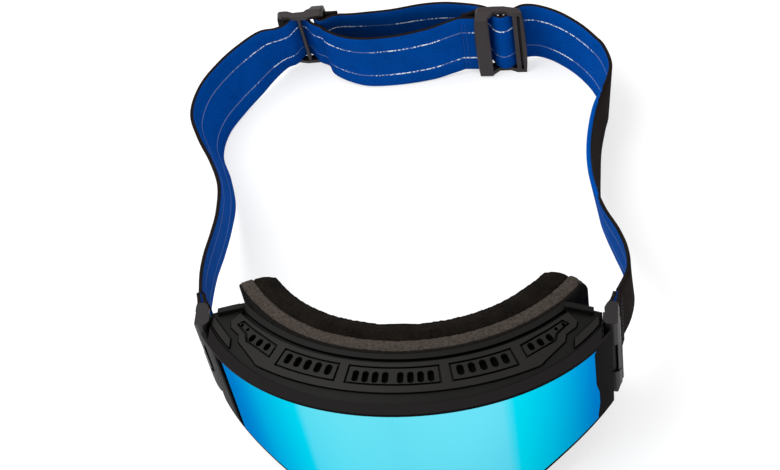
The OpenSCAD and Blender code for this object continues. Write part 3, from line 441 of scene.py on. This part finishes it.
def tuck_end(points, start, share):
    """Draw a layer's left end in behind the next layer, from start in mm, and keep this share of the
    rest. The upper half also sinks a little."""
    for point in points:
        x = (point.x - middle_x) / MM
        if x < start:
            point.x += (start - x) * (1 - share) * MM
            if point.z > TUCKED_ABOVE * MM:
                point.z -= min(1.0, (start - x) / TUCKED_OVER) * TUCKED_SINK * MM


print("corner pressed from", PRESSED_FROM, "mm behind the lens, tucked end sinks", TUCKED_SINK, "mm")

# %% [markdown]
# ## Cutting foam from the CAD solids
# Foam is die-cut from a sheet and then bent round the frame, so it has the outline of its CAD solid,
# but no sharp edges: a cut edge of foam rounds over, and each layer swells a little against the next
# one that it is glued to. A voxel remesh gives an even mesh, smoothing rounds the edges, and a slow
# noise makes the surface gently uneven.

# %% Soft copies


def even_mesh(node, name, voxel, rounds):
    """A copy of a CAD solid with even faces and rounded edges: voxel size in mm and smoothing passes."""
    piece = bpy.data.objects.new(name, nodes[node].data.copy())
    scene.collection.objects.link(piece)
    remesh = piece.modifiers.new("even mesh", "REMESH")
    remesh.mode = "VOXEL"
    remesh.voxel_size = voxel * MM
    rounding = piece.modifiers.new("rounded edges", "SMOOTH")
    rounding.factor = 0.5
    rounding.iterations = rounds
    evaluated = piece.evaluated_get(bpy.context.evaluated_depsgraph_get())
    mesh = bpy.data.meshes.new_from_object(evaluated)
    piece.modifiers.clear()
    piece.data = mesh
    return piece, mesh


def soft_copy(node, name, material, voxel, rounds, unevenness, swell=0, corner=0, tuck=None):
    """Replace a CAD solid by a soft piece: voxel size in mm, smoothing passes, unevenness and swelling
    in mm, the radius of its pressed corner, and where and by what share its end is tucked in."""
    piece, mesh = even_mesh(node, name, voxel, rounds)
    points = [v.co.copy() for v in mesh.vertices]
    normals = [n.vector.copy() for n in mesh.vertex_normals]
    for point, normal in zip(points, normals):
        point += normal * (noise.noise(point / (9 * MM)) * unevenness + swell) * MM
    if tuck:
        tuck_end(points, *tuck)
    if corner:
        spring_back(points)
        press_corner(points, corner)
    mesh.vertices.foreach_set("co", [c for point in points for c in point])
    mesh.update()
    mesh.materials.clear()
    mesh.materials.append(material)
    mesh.polygons.foreach_set("use_smooth", [True] * len(mesh.polygons))
    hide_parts(node)
    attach(piece, "goggle_frame")
    print(name, len(mesh.vertices), "points")


soft_copy("base_foam", "base_foam_layer", base_polyurethane, voxel=0.6, rounds=1, unevenness=0.05,
          swell=0.15, corner=8, tuck=(-62, 0.93))
soft_copy("mid_foam", "grey_foam_layer", grey_polyurethane, voxel=0.6, rounds=2, unevenness=0.08,
          swell=0.2, corner=4)
soft_copy("face_fleece", "fleece_face_layer", face_fleece, voxel=0.7, rounds=2, unevenness=0.15,
          swell=0.25, corner=2)
for node, name in (("top_vent_foam", "brow_filter_foam"), ("bottom_vent_foam", "cheek_filter_foam")):
    soft_copy(node, name, filter_foam, voxel=0.8, rounds=1, unevenness=0.05)

# %% [markdown]
# ## Webbing material
# Goggle webbing is a woven elastic, 40 mm wide and 2 mm thick, woven as two layers at once: black
# outside and blue inside. Rubber cords run along it, and the weft crosses them as ribs about 1 mm
# apart. Two thin beads of clear silicone are drawn along the inner face so that it grips a helmet.
# Their highlights are painted: white dashes in patches at the back of the head, and none at the
# sides, where the beads hardly show. The strip's UV map is in metres, along and across, so the weave
# follows the strap round every bend, which a pattern in object space wouldn't do.

# %% Weave
RIB, CORD = 1.1, 2.0


def wave(tree, value, period):
    """A sine along a coordinate in metres, with its period in mm."""
    angle = add(tree, "Math", {"operation": "MULTIPLY"}, i0=value, i1=math.tau / (period * MM))
    return add(tree, "Math", {"operation": "SINE"}, i0=angle.outputs[0]).outputs[0]


def weave_height(tree, place, along, across):
    """How high the yarns stand: ribs crossed by cords, with some fuzz."""
    crossed = add(tree, "Math", {"operation": "MULTIPLY"},
                  i0=wave(tree, along, RIB), i1=wave(tree, across, CORD))
    fuzz = add(tree, "TexNoise", Vector=place, Scale=1 / (0.8 * MM), Detail=3.0)
    height = add(tree, "Math", {"operation": "MULTIPLY_ADD"},
                 i0=fuzz.outputs["Fac"], i1=1.5, i2=crossed.outputs[0])
    return height.outputs[0]


print("ribs", RIB, "mm apart, cords", CORD, "mm apart")

# %% Silicone beads
BEADS = (9.8, 29.2)
BEAD_HALF_WIDTH, DASH = 0.45, 2.6
# The first stretch of each strap, in mm along it, gets no painted highlight, which fades in up to the
# second.
NO_PAINTED_HIGHLIGHT_UP_TO, PAINTED_HIGHLIGHT_FROM = 165, 190


def bead_masks(tree, place, along, across):
    """Where the beads are, and where a white highlight is painted on them: only in dashes, in patches
    about 16 mm long, and beyond the first stretch of each strap, which gets no painted highlight."""
    line = 0.0
    for centre in BEADS:
        off = add(tree, "Math", {"operation": "SUBTRACT"}, i0=across, i1=centre * MM)
        off = add(tree, "Math", {"operation": "ABSOLUTE"}, i0=off.outputs[0])
        near = add(tree, "Math", {"operation": "LESS_THAN"}, i0=off.outputs[0], i1=BEAD_HALF_WIDTH * MM)
        line = add(tree, "Math", {"operation": "ADD"}, i0=near.outputs[0], i1=line).outputs[0]
    jitter = add(tree, "TexNoise", Vector=place, Scale=1 / (2.5 * MM), Detail=1.0)
    jitter = add(tree, "Math", {"operation": "MULTIPLY"}, i0=jitter.outputs["Fac"], i1=3.0)
    steps = add(tree, "Math", {"operation": "MULTIPLY_ADD"},
                i0=along, i1=1 / (DASH * MM), i2=jitter.outputs[0])
    dash = add(tree, "Math", {"operation": "FRACT"}, i0=steps.outputs[0])
    patches = add(tree, "TexNoise", Vector=place, Scale=1 / (16 * MM), Detail=1.0)
    fill = add(tree, "MapRange", Value=patches.outputs["Fac"], From_Min=0.42, From_Max=0.6, To_Max=0.75)
    rear = add(tree, "MapRange", Value=along, From_Min=NO_PAINTED_HIGHLIGHT_UP_TO * MM, From_Max=PAINTED_HIGHLIGHT_FROM * MM)
    fill = add(tree, "Math", {"operation": "MULTIPLY"},
               i0=fill.outputs["Result"], i1=rear.outputs["Result"])
    painted_highlight_dash = add(tree, "Math", {"operation": "LESS_THAN"}, i0=dash.outputs[0], i1=fill.outputs[0])
    painted_highlight = add(tree, "Math", {"operation": "MULTIPLY"}, i0=line, i1=painted_highlight_dash.outputs[0])
    return line, painted_highlight.outputs[0]


print(len(BEADS), "beads,", 2 * BEAD_HALF_WIDTH, "mm wide")

# %% Webbing


def webbing_material(name, face, shadow, beads=False):
    """One face of the webbing: its colour, the colour between its ribs, and whether it has beads."""
    material, tree, shader = new_material(name)
    place = add(tree, "UVMap", {"uv_map": "webbing"}).outputs["UV"]
    axes = add(tree, "SeparateXYZ", Vector=place).outputs
    weave = weave_height(tree, place, axes["X"], axes["Y"])
    dye = add(tree, "TexNoise", Vector=place, Scale=1 / (14 * MM), Detail=2.0)
    tone = add(tree, "Math", {"operation": "MULTIPLY_ADD"}, i0=dye.outputs["Fac"], i1=2.5, i2=weave)
    tone = add(tree, "MapRange", Value=tone.outputs[0], From_Min=0.5, From_Max=3.5)
    cloth = add(tree, "Mix", {"data_type": "RGBA"}, i0=tone.outputs["Result"],
                i6=linear(shadow), i7=linear(face))
    height, colour = weave, cloth.outputs[2]
    plug(tree, shader, Roughness=0.85, Specular_IOR_Level=0.01)
    if beads:
        # The bead lines are a little paler than the cloth, and a white highlight is painted on their
        # dashes.
        line, painted_highlight = bead_masks(tree, place, axes["X"], axes["Y"])
        faint = add(tree, "Math", {"operation": "MULTIPLY"}, i0=line, i1=0.12)
        white = add(tree, "Math", {"operation": "MAXIMUM"}, i0=painted_highlight, i1=faint.outputs[0])
        pale = add(tree, "Mix", {"data_type": "RGBA"}, i0=white.outputs[0], i6=colour, i7=linear("#e6eef8"))
        gloss = add(tree, "MapRange", Value=painted_highlight, To_Min=0.85, To_Max=0.25)
        raised = add(tree, "Math", {"operation": "MULTIPLY_ADD"}, i0=line, i1=1.5, i2=weave)
        height, colour = raised.outputs[0], pale.outputs[2]
        plug(tree, shader, Roughness=gloss.outputs["Result"])
    bump = add(tree, "Bump", Height=height, Distance=0.12 * MM, Strength=0.7)
    plug(tree, shader, Base_Color=colour, Normal=bump.outputs["Normal"])
    return material


webbing_inner = webbing_material("woven elastic, blue inner face", "#004ba2", "#003a80", beads=True)
webbing_outer = webbing_material("woven elastic, black outer face", "#201b1a", "#141110")
print("webbing with a blue face and a black one")

# %% [markdown]
# ## Thread
# The ends are sewn with bonded polyester thread, 0.5 mm thick, in the colour of the face that shows.
# Thread is twisted from strands, and the twist catches the light as fine slanting lines. Winding real
# strands would make a heavy mesh for something so small, so a wave in the bump draws them.

# %% Thread material


def thread_material(name, colour):
    """Twisted sewing thread with its twist drawn as a fine wave."""
    material, tree, shader = new_material(name)
    place = add(tree, "TexCoord").outputs["Object"]
    twist = add(tree, "TexWave", Vector=place, Scale=1 / (2.4 * MM), Distortion=1.0)
    bump = add(tree, "Bump", Height=twist.outputs["Fac"], Distance=0.05 * MM, Strength=0.6)
    plug(tree, shader, Base_Color=linear(colour), Roughness=0.65, Normal=bump.outputs["Normal"],
         Specular_IOR_Level=0.2)
    return material


blue_thread = thread_material("blue bonded polyester thread", "#0a4590")
black_thread = thread_material("black bonded polyester thread", "#1a1716")
print("blue and black thread")

# %% [markdown]
# ## How the straps run
# Each strap leaves its clip at 36 mm above the floor, comes down to stand on its edge at the bend,
# and passes through its slider: behind the end bar, over the middle bar and behind the sewn end of
# the other strap. A route is a list of places at mid width: x, y, height of the lower edge, and how
# far the upper edge leans in x and in y. The places are chosen one by one, because a strap lies as it
# was left, and a smooth curve runs through them.

# %% Routes
TAB_X, TAB_Y = pin_x + 0.9, pin_y + 6.9
SLIDER_LEAN = (0.48, -6.93)
LEFT_ROUTE = [
    (-90.55, 71.42, 36.5, 0, 0), (-94.3, 84, 33.5, 4, 0), (-95.6, 97, 29, 5, 0), (-96, 113, 23, 6, 0),
    (-96.6, 130, 15, 5, 0), (-98.3, 150, 7.5, 2, 0), (-102.3, 168, 2.5, -4, -1), (-109, 185, 0.6, -8, -2),
    (-114.5, 200, 0, -8, -1), (-112.4, 216, 0, -7, 1), (-104.5, 230, 0.6, -6, 1.5),
    (-96.2, 239.5, 2, -4, 1), (-88.5, 247.2, 3.3, -1.5, -2), (-82.02, 252.56, 2.58, *SLIDER_LEAN),
    (-77.17, 254.87, 2.93, *SLIDER_LEAN), (-73.85, 259.05, 3.62, *SLIDER_LEAN),
    (-70.56, 260.76, 3.88, *SLIDER_LEAN), (-67.27, 259.51, 3.62, *SLIDER_LEAN),
    (-63.99, 255.69, 2.91, *SLIDER_LEAN), (-59.02, 253.38, 2.44, *SLIDER_LEAN),
    (-56, 248.8, 3, 0, -4), (-48, 245.4, 1.6, 0, -3), (-38, 243.9, 0.4, 0, -2), (-22, 245.1, 0, 0, -1.5),
    (-6, 248.2, 0.4, 0, -0.5), (4, 251.2, 1.6, 0, 0), (10.5, 252.5, 3.2, 0, 0)]
RIGHT_ROUTE = [
    (90.55, 71.42, 36.5, 0, 0), (94.6, 84, 33.5, 0, 0), (94.7, 98, 28.6, -2, 0), (91.2, 112, 23.4, -3, 0),
    (86, 127, 17, -4.6, 0), (81.6, 142, 10.9, -4.6, 0), (78.7, 155, 6.2, -4.2, 0),
    (77.2, 170, 2.4, -3.8, 0), (77.3, 185, 0.6, -3, 0), (78.6, 200, 0, -0.8, 0),
    (81.9, 213, 0, 2.6, 0), (83.6, 224, 0, 3, 0),
    (79.8, 235, 0, 4, 0.5), (75.4, 241.6, 0.4, 4, -1), (68, 250.2, 0, 4, -1.5), (58.5, 257.2, 0.4, 3, -1),
    (49.6, 260.1, 1.9, 1, -0.5), (43, 259.8, 3.2, 0, 0), (38, 257.8, 3.2, 0, 0), (34.4, 253.8, 3.2, 0, 0),
    (31, 252.3, 3.2, 0, 0), (27.8, 253.8, 3.2, 0, 0), (24.8, 257.9, 3.2, 0, 0), (20, 260.5, 2.6, 0, 0),
    (12, 263.2, 1.2, 0, 0), (2, 265, 0.2, 0, 0), (-9, 264.4, 0, 0, 0), (-24, 262.2, 0.2, 0, -2),
    (-36, 261.2, 1.4, 0, -4.5), (-44, 260.4, 2.9, 0, -6.5), (-50.03, 260.01, 3.67, *SLIDER_LEAN)]


def smooth_route(route, steps):
    """A Catmull-Rom curve through the route, with this many steps from each place to the next."""
    def pick(i):
        return route[max(0, min(len(route) - 1, i))]
    out = []
    for i in range(len(route) - 1):
        p0, p1, p2, p3 = pick(i - 1), pick(i), pick(i + 1), pick(i + 2)
        for k in range(steps):
            t = k / steps
            out.append(tuple(
                0.5 * (2 * b + (c - a) * t
                       + (2 * a - 5 * b + 4 * c - d) * t * t
                       + (3 * b - a - 3 * c + d) * t ** 3)
                for a, b, c, d in zip(p0, p1, p2, p3)))
    out.append(tuple(route[-1]))
    return out


print("routes of", len(LEFT_ROUTE), "and", len(RIGHT_ROUTE), "places")

# %% [markdown]
# ## A strip of webbing
# A strip is swept along its route with a section that is a flat oval: two faces and two rounded
# selvages. A curve with a bevel object would twist with the route, so the sections are set up one by
# one, each standing on its lower edge. Both faces belong to one closed mesh, and each has its own
# material slot.

# %% The section
WIDTH, THICKNESS = 40.0, 2.0
SELVAGE, HEM = 0.7, 0.8
COLUMNS = 8


def strip_section():
    """Points round a strip's section: place across the width and offset from the middle, in mm, and 1
    for blue or 0 for black. A thin hem at the foot of the outer face is blue."""
    half, black_from, last = THICKNESS / 2, HEM + 0.05, WIDTH - SELVAGE
    outer = [(SELVAGE, half, 1), (HEM, half, 1)]
    outer += [(black_from + (last - black_from) * k / COLUMNS, half, 0) for k in range(COLUMNS + 1)]
    top = [(WIDTH - 0.15, half * 0.62, 0), (WIDTH, 0.1, 0), (WIDTH - 0.1, -half * 0.5, 0),
           (WIDTH - 0.3, -half * 0.8, 1)]
    inner = [(SELVAGE + (last - SELVAGE) * k / COLUMNS, -half, 1) for k in range(COLUMNS, -1, -1)]
    bottom = [(0.15, -half * 0.62, 1), (0, 0, 1), (0.15, half * 0.62, 1)]
    return outer + top + inner + bottom


SECTION = strip_section()
# The faces that run round the upper edge, from the outer face over to the inner one.
UPPER_EDGE = [k for k, (v, off, _) in enumerate(SECTION)
              if v > WIDTH - 0.8 and off > -0.85 * THICKNESS / 2]
BLACK, BLUE = 0, 1
print(len(SECTION), "points round a section")

# %% Points of a strip


def strip_points(stations, side, start_length):
    """The strip's points in metres, their UV in metres along and across, and the length so far in mm."""
    points, uv = [], []
    length = start_length
    for i, (x, y, z, lx, ly) in enumerate(stations):
        a, b = stations[max(0, i - 1)], stations[min(len(stations) - 1, i + 1)]
        heading = Vector((b[0] - a[0], b[1] - a[1], 0)).normalized()
        outward = Vector((heading.y, -heading.x, 0)) * side
        if i:
            length += math.dist((x, y), stations[i - 1][:2])
        low = Vector((x - lx / 2, y - ly / 2, max(z, 0)))
        lift = Vector((lx, ly, math.sqrt(max(WIDTH * WIDTH - lx * lx - ly * ly, 1))))
        for v, off, _ in SECTION:
            spot = low + lift * (v / WIDTH) + outward * off
            points.append(at(spot.x, spot.y, spot.z))
            uv.append((length * MM, v * MM))
    return points, uv, length


print("a station is one section of", len(SECTION), "points")

# %% Faces of a strip
CURL_FADE = 14


def curled_edge(y, cupped):
    """The faces of the upper edge that look blue at this y, where the strip is cupped between two y."""
    if not cupped:
        return []
    start, end = cupped
    turned = round(len(UPPER_EDGE) * max(0, min(1, (y - start) / CURL_FADE, (end - y) / CURL_FADE)))
    return UPPER_EDGE[len(UPPER_EDGE) - turned:]


def strip_faces(stations, side, closed_ends, blue_from, cupped):
    """The strip's faces, turned to look outward, and each one's colour."""
    n, count = len(SECTION), len(stations)
    faces, colours = [], []
    for i in range(count - 1):
        curled = curled_edge(stations[i][1], cupped)
        for k in range(n):
            after = (k + 1) % n
            faces.append((i * n + k, (i + 1) * n + k, (i + 1) * n + after, i * n + after))
            woven_blue = SECTION[k][2] and SECTION[after][2]
            turned_blue = blue_from is not None and i >= blue_from and k not in UPPER_EDGE
            colours.append(BLUE if woven_blue or turned_blue or k in curled else BLACK)
    if closed_ends[0]:
        faces.append(tuple(range(n)))
    if closed_ends[1]:
        faces.append(tuple((count - 1) * n + k for k in range(n - 1, -1, -1)))
    colours += [BLACK] * (len(faces) - len(colours))
    if side < 0:
        faces = [face[::-1] for face in faces]
    return faces, colours


print(len(UPPER_EDGE), "faces round the upper edge can turn blue")

# %% The strip builder


def make_strip(name, stations, side, closed_ends=(True, True), start_length=0.0, blue_from=None,
               cupped=None):
    """A strip through stations (x, y, low z, lean x, lean y). side is +1 where the outer face lies to the
    right of the way, and blue_from is the station from which both faces are blue. Between the two y
    of cupped, in mm, the upper edge is coloured blue, as where the strip curls outward along its top."""
    points, uv, length = strip_points(stations, side, start_length)
    faces, colours = strip_faces(stations, side, closed_ends, blue_from, cupped)
    mesh = bpy.data.meshes.new(name)
    mesh.from_pydata(points, [], faces)
    mesh.materials.append(webbing_outer)
    mesh.materials.append(webbing_inner)
    layer = mesh.uv_layers.new(name="webbing")
    for polygon, colour in zip(mesh.polygons, colours):
        polygon.material_index = colour
        polygon.use_smooth = True
        for loop in polygon.loop_indices:
            layer.data[loop].uv = uv[mesh.loops[loop].vertex_index]
    piece = bpy.data.objects.new(name, mesh)
    scene.collection.objects.link(piece)
    return piece, length


print("strips are", WIDTH, "mm wide and", THICKNESS, "mm thick")

# %% [markdown]
# ## The two straps
# The straps flex when a clip swings or a slider moves. Each one is laid in five lengths that meet
# face to face. The length inside the slider rides on it, and the others, which run from one body to
# the next, are fixed where they lie and hang on no body. The right strap cups outward on its way back
# from the clip, so its blue side shows along the upper edge. The cupping is slight, so only the
# colour of that edge is drawn.

# %% Straps
STEPS = 8
ROOT = "goggle_frame"


def lay_strap(name, route, side, spans, cupped=None):
    """Lay a strap in lengths. spans is a list of (first place, last place, body at start, body at end)."""
    curve = smooth_route(route, STEPS)
    length = 0.0
    for number, (first, last, body_a, body_b) in enumerate(spans, 1):
        stations = curve[first * STEPS:last * STEPS + 1]
        ends = (number == 1, number == len(spans))
        piece, length = make_strip(f"{name}_length_{number}", stations, side, ends, length, cupped=cupped)
        if body_a == body_b:
            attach(piece, body_a)
        else:
            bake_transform(piece)
        if number == 1:
            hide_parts(name)
    print(name, "is", round(length), "mm long between its sewn ends")
    return length


print("between a clip and a slider the webbing follows the", ROOT, "body")

# %% The two straps laid
left_length = lay_strap("left_strap", LEFT_ROUTE, -1, [
    (0, 6, "left_outrigger", ROOT), (6, 13, ROOT, "left_slider"), (13, 20, "left_slider", "left_slider"),
    (20, 23, "left_slider", ROOT), (23, 26, ROOT, "right_slider")])
right_length = lay_strap("right_strap", RIGHT_ROUTE, 1, [
    (0, 7, "right_outrigger", ROOT), (7, 17, ROOT, "right_slider"),
    (17, 23, "right_slider", "right_slider"), (23, 26, "right_slider", ROOT),
    (26, 30, ROOT, "left_slider")], cupped=(128, 214))

# %% [markdown]
# ## Folded and sewn ends
# At each clip, and at each slider's rod, the webbing is folded round a bar and sewn down on itself.
# A fold is the same strip swept round a U whose two legs are pressed together beyond the bar, so the
# strip builder makes it too. At the sliders the strap itself runs on into the fold with its blue
# face outside, so the fold starts where the strap ends, and its beads run on.

# %% Folded ends
LEG_GAP = 1.02
LEG_PLACES = (0.2, 0.45, 0.72, 1)
TURN_STEPS = 14
TURN_MIDDLE = len(LEG_PLACES) + TURN_STEPS // 2


def folded(bar, direction, radius, legs, low, lean, turn, middle_off, squeeze_over):
    """Stations down one leg, round the bar and back. bar is its middle, direction the way from bar to
    webbing, turn +1 where the first leg lies to the left of that way, and middle_off how far the
    pressed legs' middle lies off the bar towards the first leg. All in mm."""
    d = Vector(direction).normalized()
    s = Vector((-d.y, d.x)) * turn
    spots = [(legs[0] * place, radius) for place in reversed(LEG_PLACES)]
    for k in range(TURN_STEPS + 1):
        angle = math.pi * k / TURN_STEPS
        spots.append((-radius * math.sin(angle), radius * math.cos(angle)))
    spots += [(legs[1] * place, -radius) for place in LEG_PLACES]
    out = []
    for t, w in spots:
        press = smooth_step(t / squeeze_over)
        w = w * (1 - press) + press * ((LEG_GAP if w > 0 else -LEG_GAP) + middle_off)
        spot = Vector(bar) + d * t + s * w
        out.append((spot.x, spot.y, low, *lean))
    return out


def sewn_fold(node, name, body, side, stations, start_length=0.0, blue_from=None):
    """A fold that replaces a CAD node and rides on a body."""
    piece, _ = make_strip(name, stations, side, start_length=start_length, blue_from=blue_from)
    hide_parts(node)
    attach(piece, body)


print("a fold has", 2 * len(LEG_PLACES) + TURN_STEPS + 1, "stations")

# %% Folds at the clips
TAB_OUT = math.radians(14)
TAB_LOW, TAB_RADIUS, TAB_LEGS, TAB_SQUEEZE = 36.5, 2.5, (9.0, 8.2), 5.0
for side_name, sign in (("left", -1), ("right", 1)):
    way = (sign * math.sin(TAB_OUT), math.cos(TAB_OUT))
    stations = folded((sign * TAB_X, TAB_Y), way, TAB_RADIUS, TAB_LEGS, TAB_LOW, (0, 0), -sign, 0,
                      TAB_SQUEEZE)
    sewn_fold(f"{side_name}_strap_tab", f"{side_name}_folded_tab", f"{side_name}_outrigger", -sign,
              stations, blue_from=TURN_MIDDLE)
print("two folded tabs, turned out by", round(math.degrees(TAB_OUT)), "degrees")

# %% Folds at the sliders
ROD_RADIUS, END_LEGS, END_OFF, END_SQUEEZE = 2.4, (9.2, 8.2), 1.2, 6.5
LEFT_SLIDER_WAY = (math.cos(math.radians(4)), math.sin(math.radians(4)))
stations = folded((19.8, 254.7), (-1, 0), ROD_RADIUS, END_LEGS, 3.2, (0, 0), 1, END_OFF, END_SQUEEZE)
sewn_fold("left_strap_end", "left_sewn_end", "right_slider", -1, stations, left_length)
stations = folded((-59.22, 259.19), LEFT_SLIDER_WAY, ROD_RADIUS, END_LEGS, 3.46, SLIDER_LEAN, -1,
                  -END_OFF, END_SQUEEZE)
sewn_fold("right_strap_end", "right_sewn_end", "left_slider", 1, stations, right_length)
print("two sewn ends on the sliders' rods")

# %% [markdown]
# ## Stitches
# A machine sews the folds down with lock stitches in rows across the webbing. Each stitch is a short
# hump of thread, 2.2 mm long with half a millimetre between two. It is drawn as a small six-sided
# spindle that stands a little proud, because a stitch painted on the cloth would look flat.

# %% Stitches
STITCH_LENGTH, STITCH_GAP, THREAD_RADIUS, SIDES = 2.2, 0.5, 0.24, 6
# Each ring of a spindle: place along the stitch, thickness, and how far it stands above the cloth.
SPINDLE = ((-0.5, 0.35, -0.1), (-0.25, 1, 0.12), (0.25, 1, 0.12), (0.5, 0.35, -0.1))


def stitch_row(name, body, thread, start, end, outward):
    """A row of stitches between two places in mm, on a face that looks outward."""
    start, end, outward = Vector(start), Vector(end), Vector(outward).normalized()
    way = (end - start).normalized()
    across = way.cross(outward)
    pitch = STITCH_LENGTH + STITCH_GAP
    count = int((end - start).length / pitch)
    points, faces = [], []
    for number in range(count):
        middle = start + way * (number * pitch + STITCH_LENGTH / 2)
        first = len(points)
        for share, thick, rise in SPINDLE:
            for k in range(SIDES):
                a = math.tau * k / SIDES
                spot = middle + way * STITCH_LENGTH * share \
                    + outward * (rise + THREAD_RADIUS * thick * math.sin(a)) \
                    + across * THREAD_RADIUS * thick * math.cos(a)
                points.append(at(spot.x, spot.y, spot.z))
        for ring in range(len(SPINDLE) - 1):
            for k in range(SIDES):
                a, b = first + ring * SIDES + k, first + ring * SIDES + (k + 1) % SIDES
                faces.append((a, b, b + SIDES, a + SIDES))
        last_ring = first + (len(SPINDLE) - 1) * SIDES
        faces.append(tuple(first + k for k in range(SIDES - 1, -1, -1)))
        faces.append(tuple(last_ring + k for k in range(SIDES)))
    mesh = bpy.data.meshes.new(name)
    mesh.from_pydata(points, [], faces)
    mesh.materials.append(thread)
    for polygon in mesh.polygons:
        polygon.use_smooth = True
    piece = bpy.data.objects.new(name, mesh)
    scene.collection.objects.link(piece)
    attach(piece, body)
    return count


print("stitches", STITCH_LENGTH, "mm long,", STITCH_GAP, "mm apart")

# %% Rows of stitches
TAB_ROWS, TAB_FACE = (5.6, 7.4), 2.05
END_ROWS, END_FACE_Y = (11.4, 13.4), 251.47
stitches = 0
for side_name, sign in (("left", -1), ("right", 1)):
    way = Vector((sign * math.sin(TAB_OUT), math.cos(TAB_OUT), 0))
    outside = Vector((sign * math.cos(TAB_OUT), -math.sin(TAB_OUT), 0))
    bar = Vector((sign * TAB_X, TAB_Y, 0))
    for face, look, thread in (("outer", outside, black_thread), ("inner", -outside, blue_thread)):
        for row, t in enumerate(TAB_ROWS, 1):
            spot = bar + way * t + look * TAB_FACE
            stitches += stitch_row(f"{side_name}_tab_{face}_stitches_{row}", f"{side_name}_outrigger",
                                   thread, (spot.x, spot.y, 38), (spot.x, spot.y, 75), look)
for row, x in enumerate(END_ROWS, 1):
    stitches += stitch_row(f"left_end_stitches_{row}", "right_slider", blue_thread,
                           (x, END_FACE_Y, 4.6), (x, END_FACE_Y, 41.8), (0, -1, 0))
print(stitches, "stitches")

# %% [markdown]
# ## Floor, world and lamps
# The goggles lie on plain white paper under a large soft lamp. The paper and the world look white to
# the camera, in reflections and through the lens, which Light Path tells them, and everything else
# sees them at their plain level. So the background is white without more light on the goggles, and
# the paper still takes their shadow. The lamps are kept at a level where a colour renders about as
# it is written.

# %% White paper
PAPER_SIZE, PAPER_DROP = 4, 0.0003
PAPER_GLOW, PAPER_WHITE = 0.55, 1.12


def looked_at(tree):
    """1 where the camera, a reflection or the view through glass sees a surface, and 0 to other light."""
    ray = add(tree, "LightPath").outputs
    seen = add(tree, "Math", {"operation": "MAXIMUM"}, i0=ray["Is Camera Ray"], i1=ray["Is Glossy Ray"])
    seen = add(tree, "Math", {"operation": "MAXIMUM"}, i0=seen.outputs[0], i1=ray["Is Transmission Ray"])
    return seen.outputs[0]


corners = [(x * PAPER_SIZE, y * PAPER_SIZE, -PAPER_DROP) for x, y in ((-1, -1), (1, -1), (1, 1), (-1, 1))]
floor_mesh = bpy.data.meshes.new("floor")
floor_mesh.from_pydata(corners, [], [(0, 1, 2, 3)])
floor = bpy.data.objects.new("floor", floor_mesh)
scene.collection.objects.link(floor)
paper = bpy.data.materials.new("white background paper")
paper.use_nodes = True
tree = paper.node_tree
tree.nodes.clear()
matt = add(tree, "BsdfDiffuse", Color=linear("#f4f4f4"))
white = add(tree, "Emission", Color=linear("#ffffff"), Strength=PAPER_WHITE)
share = add(tree, "Math", {"operation": "MULTIPLY"}, i0=looked_at(tree), i1=PAPER_GLOW)
mixed = add(tree, "MixShader", Fac=share.outputs[0], i1=matt.outputs[0], i2=white.outputs[0])
add(tree, "OutputMaterial", Surface=mixed.outputs[0])
floor_mesh.materials.append(paper)
print("paper", 2 * PAPER_SIZE, "m wide")

# %% World and lamps
world = bpy.data.worlds.new("white studio")
world.use_nodes = True
scene.world = world
tree = world.node_tree
tree.nodes.clear()
level = add(tree, "MapRange", Value=looked_at(tree), To_Min=0.78, To_Max=1.0)
sky = add(tree, "Background", Color=linear("#ffffff"), Strength=level.outputs["Result"])
add(tree, "OutputWorld", Surface=sky.outputs[0])


def softbox(name, place, target, size, watts):
    """A square area lamp, size in metres, that points at a target."""
    data = bpy.data.lights.new(name, "AREA")
    data.shape = "RECTANGLE"
    data.size = data.size_y = size
    data.energy = watts
    lamp = bpy.data.objects.new(name, data)
    lamp.location = place
    lamp.rotation_euler = (Vector(target) - Vector(place)).to_track_quat("-Z", "Y").to_euler()
    scene.collection.objects.link(lamp)
    return watts


power = softbox("key softbox", (-0.62, -0.1, 1.35), (0, 0, 0), size=1.0, watts=19.5)
power += softbox("fill softbox", (1.1, -0.5, 0.7), (0, 0, 0.05), size=0.7, watts=2.0)
scene.view_settings.view_transform = "Standard"
print("two lamps of", power, "W together")
